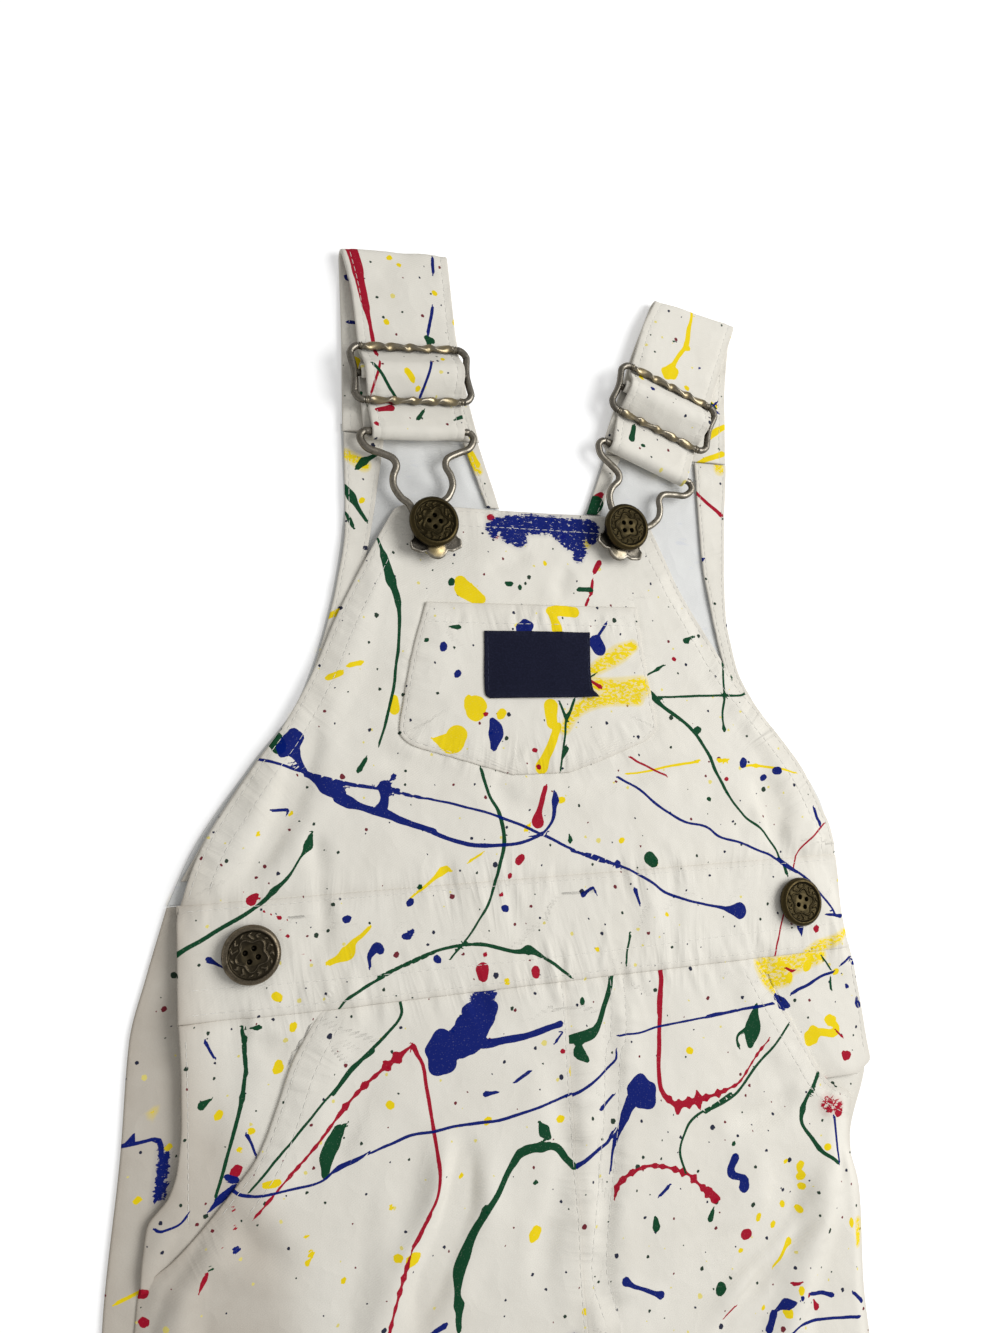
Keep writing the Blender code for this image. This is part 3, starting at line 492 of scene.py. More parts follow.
# Outlines: y, then the piece's two edges there.
outlines = {
    "back_leg_left": [(-312.5, -128.0, -17.0), (-240.0, -127.0, -9.0), (-165.0, -125.5, 0.0),
         (-83.0, -123.0, 1.0), (-44.0, -119.0, 1.6), (-18.0, -117.0, 1.8), (-3.0, -113.0, 2.0),
         (13.7, -108.0, 2.2)],
    "back_leg_right": [(-312.5, 26.0, 128.0), (-240.0, 13.0, 113.0), (-165.0, 0.3, 99.0),
         (-120.0, 0.9, 95.5), (-75.0, 1.3, 96.5), (-50.0, 1.8, 106.0), (-33.0, 2.1, 106.0),
         (-1.0, 2.3, 103.0), (13.7, 2.5, 102.5)],
    "back_yoke_left": [(14.0, -108.0, 2.2), (28.0, -101.5, 2.2), (50.0, -86.0, 2.2), (67.0, -73.0, 2.2),
         (96.0, -63.0, 2.2), (110.0, -60.0, 1.0), (115.0, -59.2, -4.5), (127.0, -58.0, -9.5),
         (150.0, -58.2, -15.5)],
    "back_yoke_right": [(14.0, 2.5, 102.5), (29.0, 2.5, 100.5), (42.0, 2.5, 94.0), (59.0, 2.5, 81.0),
         (76.0, 2.5, 72.0), (96.0, 2.5, 69.5), (110.0, 4.0, 70.6), (115.0, 12.5, 71.2), (127.0, 20.0, 72.6),
         (150.0, 30.0, 76.2)],
    "armhole_facing_left": [(20.0, -104.6, -97.5), (35.0, -95.6, -89.0), (50.0, -85.2, -78.5),
         (67.0, -72.2, -65.5), (80.0, -67.2, -60.0), (100.0, -61.5, -54.3), (119.0, -58.2, -50.2),
         (147.0, -57.7, -45.2)],
    "armhole_facing_right": [(20.0, 95.0, 101.0), (42.0, 86.5, 93.3), (59.0, 74.0, 80.3),
         (76.0, 66.6, 71.4), (94.0, 63.5, 69.0), (113.0, 61.8, 70.5), (147.0, 62.5, 75.2)],
    "neck_facing_left": [(126.2, -13.7, -9.6), (147.0, -20.5, -15.4)],
    "neck_facing_right": [(126.2, 20.2, 25.0), (147.0, 29.2, 34.6)],
    "hip_left": [(-76.0, -114.6, -106.0), (-71.0, -114.4, -98.0), (-66.0, -113.8, -92.0),
         (-61.0, -113.0, -87.0), (-55.0, -108.0, -82.0), (-49.0, -106.0, -77.5), (-38.0, -105.0, -72.5),
         (-29.0, -105.0, -69.0), (-15.0, -105.6, -60.4)],
    "hip_right": [(-55.0, 79.0, 100.5), (-51.0, 77.0, 106.5), (-44.0, 73.0, 106.0), (-30.0, 65.5, 105.0),
         (-15.0, 57.9, 103.0)],
    "front_leg_left": [(-312.5, -127.6, -17.4), (-240.0, -126.6, -9.3), (-165.0, -125.0, -0.3),
         (-83.0, -115.8, 0.8), (-75.0, -114.8, 1.0), (-70.0, -107.5, 1.0), (-64.5, -101.0, 1.0),
         (-58.0, -94.5, 1.2), (-49.0, -86.5, 1.4), (-38.0, -81.5, 1.5), (-29.0, -78.0, 1.5),
         (-14.6, -69.0, 1.5)],
    "front_leg_right": [(-312.5, 26.4, 127.6), (-240.0, 13.3, 112.6), (-165.0, 0.6, 98.6),
         (-120.0, 1.0, 95.2), (-88.0, 1.2, 97.6), (-75.0, 1.2, 95.6), (-61.0, 1.4, 97.5),
         (-55.6, 1.5, 89.0), (-44.0, 1.7, 82.0), (-30.0, 1.8, 74.5), (-14.6, 1.8, 66.2)],
    "bib": [(13.0, -105.1, 102.1), (22.0, -102.2, 101.0), (30.0, -98.5, 98.0), (40.0, -92.0, 93.5),
         (50.0, -85.0, 87.0), (60.0, -77.5, 79.0), (76.0, -68.5, 66.5), (90.0, -62.3, 58.5),
         (103.0, -55.6, 51.5), (115.0, -48.9, 46.0), (120.5, -45.6, 43.6), (124.0, -43.2, 42.0),
         (125.6, -40.0, 38.0)],
    "bib_pocket": [(44.0, -11.0, 7.0), (47.0, -21.0, 17.0), (50.5, -32.0, 27.0), (54.0, -42.5, 35.5),
         (57.5, -45.0, 38.0), (66.0, -43.5, 37.3), (78.0, -41.0, 36.2), (95.5, -35.5, 34.5)],
    "label": [(66.6, -17.5, 17.8), (67.6, -18.8, 17.2), (69.0, -19.0, 16.1), (87.0, -18.0, 17.0)],
}
# The waistband runs across: x, then its lower and upper edges.
waistband = [(-105.8, -14.9, 14.0), (-98.0, -15.2, 14.0), (-70.0, -16.0, 14.0), (0.0, -16.0, 14.0),
             (56.0, -16.0, 14.0), (96.0, -16.0, 14.0), (102.2, -16.0, 13.6)]
# Heights: the back's top, what the front lies on there, the extra over a facing or a hip piece, and how
# thick a panel is.
levels = {"back": 1.0, "layer": 1.5, "facing": 0.8, "hip": 0.75, "wall": 0.6}
rimRadius = 0.35  # how far in a cloth edge rounds over
rimSteps = (0.0, 0.12, 0.35)
rimIn = 0.75  # from a rim to the first row of the even grid

# The largest folds: ends, height and width.
legFolds = [
    (-103.0, 34.0, -106.0, -74.0, 1.5, 9.0), (94.0, -72.0, 46.0, -150.0, 3.2, 9.0),
     (70.0, -96.0, 62.0, -210.0, 2.4, 8.0), (6.0, -100.0, -16.0, -160.0, 2.6, 7.0),
     (-52.0, -62.0, -70.0, -170.0, 2.2, 8.0), (-104.0, -74.0, -112.0, -150.0, 2.4, 6.0),
     (-60.0, -205.0, -84.0, -280.0, 2.4, 9.0), (88.0, -190.0, 70.0, -285.0, 2.6, 9.0),
     (-30.0, -180.0, -44.0, -268.0, 1.8, 7.0), (38.0, -170.0, 44.0, -262.0, 1.8, 7.0),
]
# Creases pressed into the cloth: height (troughs below 0), half-width, then the line they follow.
creases = [
    (-2.3, 5.5, [(79, -70), (72, -82), (62, -94), (41, -101), (25, -109), (16, -115)]),
     (1.3, 4.5, [(89, -67), (83, -81), (73, -94), (53, -104), (35, -115)]),
     (-1.1, 2.4, [(87, -86), (72, -96), (62, -103), (44, -115), (34, -123)]),
     (-1.2, 4.0, [(-6, -28), (-3, -42), (-2, -60), (-6, -73), (-11, -89), (-13, -105)]),
     (-1.0, 3.2, [(15, -12), (14, -36), (10, -71), (7, -88), (8, -107)]),
     (-0.9, 2.6, [(3, -89), (6, -99), (9, -108)]),
     (-3.4, 4.0, [(-32, -50), (-33, -62), (-36, -74), (-43, -87), (-50, -103)]),
     (2.0, 3.6, [(-38, -46), (-38, -55), (-41, -66), (-48, -78), (-56, -92)]),
     (-0.9, 2.8, [(-55, -34), (-63, -45), (-69, -55)]),
     (-2.2, 3.0, [(-99, -60), (-107, -70), (-113, -80), (-116, -92)]),
     (1.0, 3.0, [(-106, -62), (-112, -70), (-118, -78)]), (-1.1, 3.0, [(-94, -61), (-87, -71), (-77, -75)]),
     (-2.0, 3.0, [(-66, 70), (-75, 44), (-82, 28), (-93, 16)]),
     (-0.9, 2.6, [(-71, 33), (-69, 23), (-69, 11)]), (-1.0, 3.4, [(-16, 46), (-14, 37), (-7, 33), (3, 32)]),
     (-0.8, 2.6, [(-18, 104), (-9, 109), (1, 112)]), (-0.8, 2.4, [(12, 110), (9, 102), (11, 97)]),
     (-2.1, 3.4, [(72, 43), (76, 36), (79, 28), (79, 17)]), (-0.9, 2.8, [(63, 20), (66, 25), (73, 29)]),
     (1.3, 4.0, [(80, 18), (88, 20), (98, 20)]), (-1.0, 3.0, [(0, 41), (17, 41), (35, 44), (53, 46)]),
     (-0.9, 2.8, [(-52, 50), (-42, 48), (-30, 49)]), (-0.8, 2.4, [(-34, 23), (-33, 11), (-32, 1)]),
     (-0.8, 2.6, [(-16, 14), (-12, 3), (-9, -6)]), (0.9, 3.0, [(31, 16), (31, 3), (31, -11)]),
     (-0.8, 2.4, [(-69, 17), (-68, 5), (-69, -5)]), (-0.9, 2.2, [(-88, -20), (-81, -25), (-75, -22)]),
     (-1.0, 2.6, [(-92, -11), (-91, -25), (-94, -39)]), (-1.1, 2.8, [(78, -55), (66, -61), (48, -62)]),
     (-1.0, 2.6, [(96, -59), (92, -73), (88, -87)]), (-0.9, 2.2, [(103, -56), (91, -58), (83, -56)]),
     (-1.0, 2.8, [(48, 112), (55, 99), (61, 82)]), (-0.9, 2.6, [(101, 9), (104, -11), (105, -30)]),
     (-1.6, 5.0, [(-20, -140), (-32, -165), (-36, -200), (-50, -232)]),
     (-1.5, 4.6, [(-92, -120), (-98, -158), (-92, -200)]),
     (-1.4, 4.4, [(-70, -236), (-86, -262), (-104, -290)]),
     (-1.5, 4.8, [(30, -150), (36, -186), (52, -222)]), (-1.4, 4.2, [(84, -130), (80, -166), (88, -204)]),
     (-1.3, 4.4, [(56, -240), (72, -262), (100, -282)]),
]
backCreases = [
    (0.7, 4.0, [(-30, 128), (-38, 140), (-44, 149)]), (-0.6, 2.6, [(-24, 130), (-30, 142), (-33, 149)]),
     (0.7, 3.6, [(40, 128), (46, 138), (52, 149)]), (-0.6, 2.6, [(54, 126), (58, 136), (66, 146)]),
]
# Seams that pull the cloth into short ridges: how far they reach, their height and their spacing.
puckers = [
    ('waistLow', 7.0, 0.42, 5.0), ('waistHigh', 6.0, 0.34, 5.0), ('bibLeft', 6.0, 0.34, 5.0),
     ('bibRight', 6.5, 0.46, 4.4), ('bibTop', 7.0, 0.34, 5.0), ('slashLeft', 6.0, 0.36, 4.4),
     ('slashRight', 6.5, 0.46, 4.2), ('middle', 5.5, 0.32, 5.0), ('fly', 5.0, 0.3, 4.6),
     ('pocketRim', 5.0, 0.3, 4.6),
]


def edgeLine(name, side, step=3.0):
    rows = outlines[name]
    y = np.arange(rows[0][0], rows[-1][0] + 0.01, step)
    return np.stack([column(rows, 1 if side == "left" else 2, y), y], 1)


def inset(line, depth):
    # a line moved to its left by a depth
    return line + leftNormal(line) * depth


def between(line, low, high):
    return line[(line[:, 1] >= low) & (line[:, 1] <= high)]


flyLine = curveThrough([(20, -14), (20, -22), (19, -34), (17, -39), (15, -56), (12, -71), (8, -93),
                        (10, -106)])
middleLine = curveThrough([(1.6, -16), (1.5, -60), (1.0, -100), (0.6, -165), (2, -200)])
seams = {
    "waistLow": curveThrough([(-105, -15), (-98, -15.2), (-70, -16), (0, -16), (56, -16), (102, -16)]),
    "waistHigh": curveThrough([(-105, 14), (0, 14), (102, 14)]),
    "bibLeft": edgeLine("bib", "left"),
    "bibRight": edgeLine("bib", "right"),
    "bibTop": curveThrough([(-40, 125), (-36, 125.6), (41, 125.6), (45, 124)]),
    "slashLeft": between(edgeLine("front_leg_left", "left"), -70, -14),
    "slashRight": between(edgeLine("front_leg_right", "right"), -62, -14),
    "middle": middleLine,
    "fly": flyLine,
    "pocketRim": np.concatenate([edgeLine("bib_pocket", "left")[::-1], edgeLine("bib_pocket", "right")]),
    "pocketHem": curveThrough([(-36.5, 89.5), (0, 89.3), (34.5, 89.5)]),
    "bandEnd": curveThrough([(102.2, -16), (102.2, 14)]),
}
# Short sharp wrinkles that cross a seam: their spacing, how far each runs to its right and left, height.
wrinkleSeams = [
    ("waistLow", 2.1, 5.0, 16.0, 0.55), ("waistHigh", 2.9, 12.0, 5.0, 0.40), ("bibLeft", 2.6, 8.0, 0.4, 0.40),
    ("bibRight", 2.3, 0.4, 9.0, 0.50), ("bibTop", 2.8, 9.0, 0.4, 0.36), ("slashLeft", 2.6, 8.0, 0.4, 0.36),
    ("slashRight", 2.5, 0.4, 8.0, 0.40), ("middle", 2.8, 5.0, 6.0, 0.36), ("fly", 2.8, 6.0, 5.0, 0.36),
    ("pocketRim", 3.0, 3.5, 2.0, 0.26),
]
pocketWrinkles = [("pocketHem", 1.9, 4.5, 5.8, 0.48), ("pocketRim", 2.3, 0.3, 8.5, 0.44)]
# Where buttons hold the cloth, then the inner and outer radius there and how high it stands.
buttonPlaces = {"bib_button_left": (-33.2, 118.6), "bib_button_right": (30.6, 120.4),
                "side_button_left": (-87.6, 0.4), "side_button_right": (83.8, 0.0)}
holdLook = {"bib": (12.0, 25.0, 0.7), "side": (8.5, 17.0, 1.6)}
freeEdges = ["bibLeft", "bibRight", "bibTop", "slashLeft", "slashRight", "bandEnd"]


def beside(name, x, y, near, far):
    # 1 over a piece and close by, 0 further out than the far distance
    rows = outlines[name]
    outX = np.maximum(np.maximum(column(rows, 1, y) - x, x - column(rows, 2, y)), 0.0)
    outY = np.maximum(np.maximum(rows[0][0] - y, y - rows[-1][0]), 0.0)
    return 1.0 - easeTo((np.hypot(outX, outY) - near) / (far - near))


def calm(x, y):
    # 1 where the cloth is free and 0 at a hold, and the height it has there
    still, held = np.ones_like(x), np.zeros_like(x)
    for name, (cx, cy) in buttonPlaces.items():
        inner, outer, height = holdLook[name.split("_")[0]]
        share = easeTo((np.hypot(x - cx, y - cy) - inner) / (outer - inner))
        held = np.where(share < still, height, held)
        still = np.minimum(still, share)
    return still, held


def resting(x, y):
    # 0 at the free edges, which lie on what is below them, and 1 further in
    rest = np.ones_like(x)
    for name in freeEdges:
        spots, _, far, _, _ = around(x, y, seams[name], 8.0)
        rest[spots] = np.minimum(rest[spots], easeTo(far / 7.0))
    return rest


def wrinkleRows(table, seed):
    # each wrinkle's two ends, height and half-width, at random along its seam
    rows = []
    for number, (name, pitch, right, left, tall) in enumerate(table):
        path = seams[name]
        run = lengths(path)
        dice = np.random.default_rng(seed + number)
        at = np.arange(0.5 * pitch, run[-1], pitch)
        at = at + dice.uniform(-0.6, 0.6, len(at)) * pitch
        ahead = onPath(path, run, at + 1.5) - onPath(path, run, at - 1.5)
        ahead /= np.maximum(np.hypot(*ahead.T), 1e-6)[:, None]
        out = np.stack([-ahead[:, 1], ahead[:, 0]], 1)
        lean = ahead * dice.uniform(-0.4, 0.4, (len(at), 1))
        ends = [onPath(path, run, at) + (out + lean) * dice.uniform(0.3, 1.3, (len(at), 1)) * reach
                for reach in (-right, left)]
        patchy = np.clip(0.7 + 0.6 * ripples(at, 15.0, seed + 60 + number), 0.1, 1.3)
        tall = tall * patchy * dice.uniform(0.25, 1.0, len(at)) ** 1.3
        tall = tall * np.where(dice.uniform(size=len(at)) < 0.2, -1, 1)
        rows.append(np.column_stack([*ends, tall, dice.uniform(0.5, 0.95, len(at))]))
    return np.concatenate(rows)


def wrinkled(x, y, rows):
    # each wrinkle is a bell across its line and half a sine along it
    height = np.zeros_like(x)
    for x0, y0, x1, y1, tall, width in rows:
        reach = 3.0 * width
        spots = np.flatnonzero((x > min(x0, x1) - reach) & (x < max(x0, x1) + reach)
                               & (y > min(y0, y1) - reach) & (y < max(y0, y1) + reach))
        span = math.hypot(x1 - x0, y1 - y0)
        ux, uy = (x1 - x0) / span, (y1 - y0) / span
        px, py = x[spots] - x0, y[spots] - y0
        along = np.clip((px * ux + py * uy) / span, 0.0, 1.0)
        height[spots] += tall * np.exp(-((px * uy - py * ux) / width) ** 2) * np.sin(np.pi * along)
    return height


def creased(x, y, table, seed=100):
    # each crease is a rounded trough or ridge with a low lip beside it; depth and width drift along it
    height = np.zeros_like(x)
    for number, (depth, width, line) in enumerate(table):
        path = curveThrough(line, 3.0)
        spots, side, far, along, _ = around(x, y, path, 5.0 * width)
        total = lengths(path)[-1]
        fade = easeTo(along / total * 3.2) * easeTo((total - along) / total * 3.2)
        drift = 1.0 + 0.45 * ripples(along, 11.0, seed + number)
        spread = width * (1.0 + 0.3 * ripples(along, 15.0, seed + 50 + number))
        dent = np.exp(-(side / spread) ** 2)
        lip = np.exp(-((side - 2.1 * spread) / (1.2 * spread)) ** 2) * 0.32
        lip += np.exp(-((side + 2.1 * spread) / (1.2 * spread)) ** 2) * 0.18
        height[spots] += depth * fade * drift * (dent - lip) * np.exp(-((far - np.abs(side)) / width) ** 2)
    return height


def puckered(x, y):
    # a dent along each seam, and across it short ridges whose height and reach change as it runs
    height = np.zeros_like(x)
    for number, (name, reach, rise, pitch) in enumerate(puckers):
        spots, side, far, along, _ = around(x, y, seams[name], 3.0 * reach)
        lean = along + 0.35 * side * ripples(along, 21.0, 300 + number)
        ridge = ripples(lean, pitch * 0.5, 320 + number) + 0.6 * ripples(lean, pitch * 1.3, 340 + number)
        grow = 0.65 + 0.5 * ripples(along, 18.0, 360 + number)
        stretch = reach * (1.0 + 0.4 * ripples(lean, pitch, 380 + number))
        height[spots] += rise * ridge * grow * np.exp(-(far / stretch) ** 1.6)
        height[spots] -= 0.24 * np.exp(-(far / 1.3) ** 2)
    return height


def folded(x, y):
    # the legs' long ridges: round across and dying away at both ends
    height = np.zeros_like(x)
    for x0, y0, x1, y1, rise, width in legFolds:
        span = math.hypot(x1 - x0, y1 - y0)
        t = ((x - x0) * (x1 - x0) + (y - y0) * (y1 - y0)) / span**2
        away = np.abs((x - x0) * (y1 - y0) - (y - y0) * (x1 - x0)) / span
        ridge = rise * (1.0 - easeTo(away / width)) * np.sin(np.pi * np.clip(t, 0.0, 1.0))
        height = np.maximum(height, ridge)
    return height


def overLayers(x, y):
    # what the front lies on: the back, and one more layer over the facings and the hips
    over = np.maximum(beside("armhole_facing_left", x, y, 1.5, 9.0),
                      beside("armhole_facing_right", x, y, 1.5, 9.0)) * levels["facing"]
    hips = np.maximum(beside("hip_left", x, y, 1.0, 8.0), beside("hip_right", x, y, 1.0, 8.0))
    return levels["layer"] + over + hips * levels["hip"]


loft = {"middle": 1.1, "hills": ((0.55, 31.0, 11), (0.30, 13.0, 12), (0.13, 5.0, 13)), "atEdges": 0.25,
        "turn": 3.0}


def relief(x, y):
    # how far the front stands off what it lies on: soft swells, creases and puckers
    flat = loft["atEdges"] + (1.0 - loft["atEdges"]) * resting(x, y)
    height = hilly(x, y, loft["middle"], loft["hills"]) * flat + creased(x, y, creases) + puckered(x, y)
    height = height + wrinkled(x, y, frontWrinkles)
    soft = np.log1p(np.exp(loft["turn"] * height)) / loft["turn"]  # never below 0, with no sharp turn there
    still, held = calm(x, y)
    return soft * still + held * (1.0 - still)


def front(x, y):
    return overLayers(x, y) + folded(x, y) + relief(x, y)


frontWrinkles = wrinkleRows(wrinkleSeams, 1200)
onPocket = wrinkleRows(pocketWrinkles, 1400)


def spread(left, right, count):
    # rows of points from edge to edge, even in the middle and close together at both rims
    rim = np.array(rimSteps)
    middle = left + rimIn + np.linspace(0.0, 1.0, count + 1) * (right - left - 2 * rimIn)
    return np.concatenate([left + rim, middle, right - rim[::-1]], 1)


def planGrid(rows, step, across=False, coarse=None):
    # points between a table's two edges, close together at all four rims, and how deep inside each one lies;
    # below coarse's first number the rows are as far apart as its second
    low, high = rows[0][0], rows[-1][0]
    start = low if coarse is None else coarse[0]
    inner = np.linspace(start + (rimIn if coarse is None else 0.0), high - rimIn,
                        max(2, math.ceil((high - start - 2 * rimIn) / step)) + 1)
    if coarse is not None:
        more = np.linspace(low + rimIn, start, max(2, math.ceil((start - low) / coarse[1])) + 1)[:-1]
        inner = np.concatenate([more, inner])
    rim = np.array(rimSteps)
    keys = np.concatenate([low + rim, inner, (high - rim)[::-1]])
    left, right = column(rows, 1, keys)[:, None], column(rows, 2, keys)[:, None]
    values = spread(left, right, max(3, math.ceil(((right - left).max() - 2 * rimIn) / step)))
    grid = np.broadcast_to(keys[:, None], values.shape)
    slopeLeft, slopeRight = (np.hypot(1.0, np.gradient(edge[:, 0], keys))[:, None] for edge in (left, right))
    depth = np.minimum(np.minimum((values - left) / slopeLeft, (right - values) / slopeRight),
                       np.minimum(grid - low, high - grid))
    x, y = (grid, values) if across else (values, grid)
    return x, y, depth


def rounded(depth):
    # 0 at a rim, 1 further in than its radius, round between
    t = 1.0 - np.clip(depth / rimRadius, 0.0, 1.0)
    return np.sqrt(np.maximum(1.0 - t * t, 0.0))


def bothFaces(grid):
    # a grid's numbers in the order of a closed skin's points: its upper face, then its lower inside the rim
    return np.concatenate([grid.ravel(), grid[1:-1, 1:-1].ravel()])


def outward(points, faces):
    # faces turned outwards by the sign of the volume they enclose
    corners = points[faces[:, :3]]
    volume = np.einsum("ij,ij->i", corners[:, 0], np.cross(corners[:, 1], corners[:, 2])).sum()
    return faces[:, ::-1] if volume < 0.0 else faces


def given(item, node=None):
    # every piece rides the one body; a panel or a fitting also stands for its CAD piece
    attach(item, "root")
    if node is not None:
        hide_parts(node)
    return item


def newMesh(name, points, faces, materials, groups=None, places=None, marks=None):
    # an object from points in millimetres and faces of four corners (a repeated corner makes three)
    mesh = bpy.data.meshes.new(name)
    points = np.asarray(points, float) + (0.0, waistY, 0.0)
    mesh.vertices.add(len(points))
    mesh.vertices.foreach_set("co", (points * mm).astype(np.float32).ravel())
    faces = np.asarray(faces)
    sizes = np.full(len(faces), faces.shape[1])
    mesh.loops.add(faces.size)
    mesh.loops.foreach_set("vertex_index", faces.ravel())
    mesh.polygons.add(len(faces))
    mesh.polygons.foreach_set("loop_start", np.concatenate([[0], np.cumsum(sizes)[:-1]]))
    if groups is not None:
        mesh.polygons.foreach_set("material_index", groups)
    mesh.polygons.foreach_set("use_smooth", np.ones(len(faces), bool))
    if places is not None:
        layer = mesh.uv_layers.new(name="OFBake")
        layer.data.foreach_set("uv", places.astype(np.float32).ravel())
    for key, value in (marks or {}).items():
        made = mesh.attributes.new(key, "FLOAT_VECTOR", "POINT")
        made.data.foreach_set("vector", value.astype(np.float32).ravel())
    for material in materials:
        mesh.materials.append(material)
    mesh.update(calc_edges=True)
    mesh.validate()
    item = bpy.data.objects.new(name, mesh)
    scene.collection.objects.link(item)
    return item


def twoSided(x, y, low, high, flip=None):
    # a closed skin: an upper and a lower grid that share their rim; its points and faces
    rows, columns = x.shape
    upper = np.arange(x.size).reshape(rows, columns)
    lower = upper.copy()
    lower[1:-1, 1:-1] = x.size + np.arange((rows - 2) * (columns - 2)).reshape(rows - 2, columns - 2)
    points = np.concatenate([np.stack([x, y, high], 2).reshape(-1, 3),
                             np.stack([x, y, low], 2)[1:-1, 1:-1].reshape(-1, 3)])

    def quads(index):
        return np.stack([index[:-1, :-1], index[:-1, 1:], index[1:, 1:], index[1:, :-1]], 2).reshape(-1, 4)

    if flip is None:
        r, c = rows // 2, columns // 2
        flip = ((x[r, c + 1] - x[r, c]) * (y[r + 1, c] - y[r, c])
                - (y[r, c + 1] - y[r, c]) * (x[r + 1, c] - x[r, c])) < 0.0
    top, bottom = quads(upper), quads(lower)[:, ::-1]
    if flip:
        top, bottom = top[:, ::-1], bottom[:, ::-1]
    return points, np.concatenate([top, bottom])


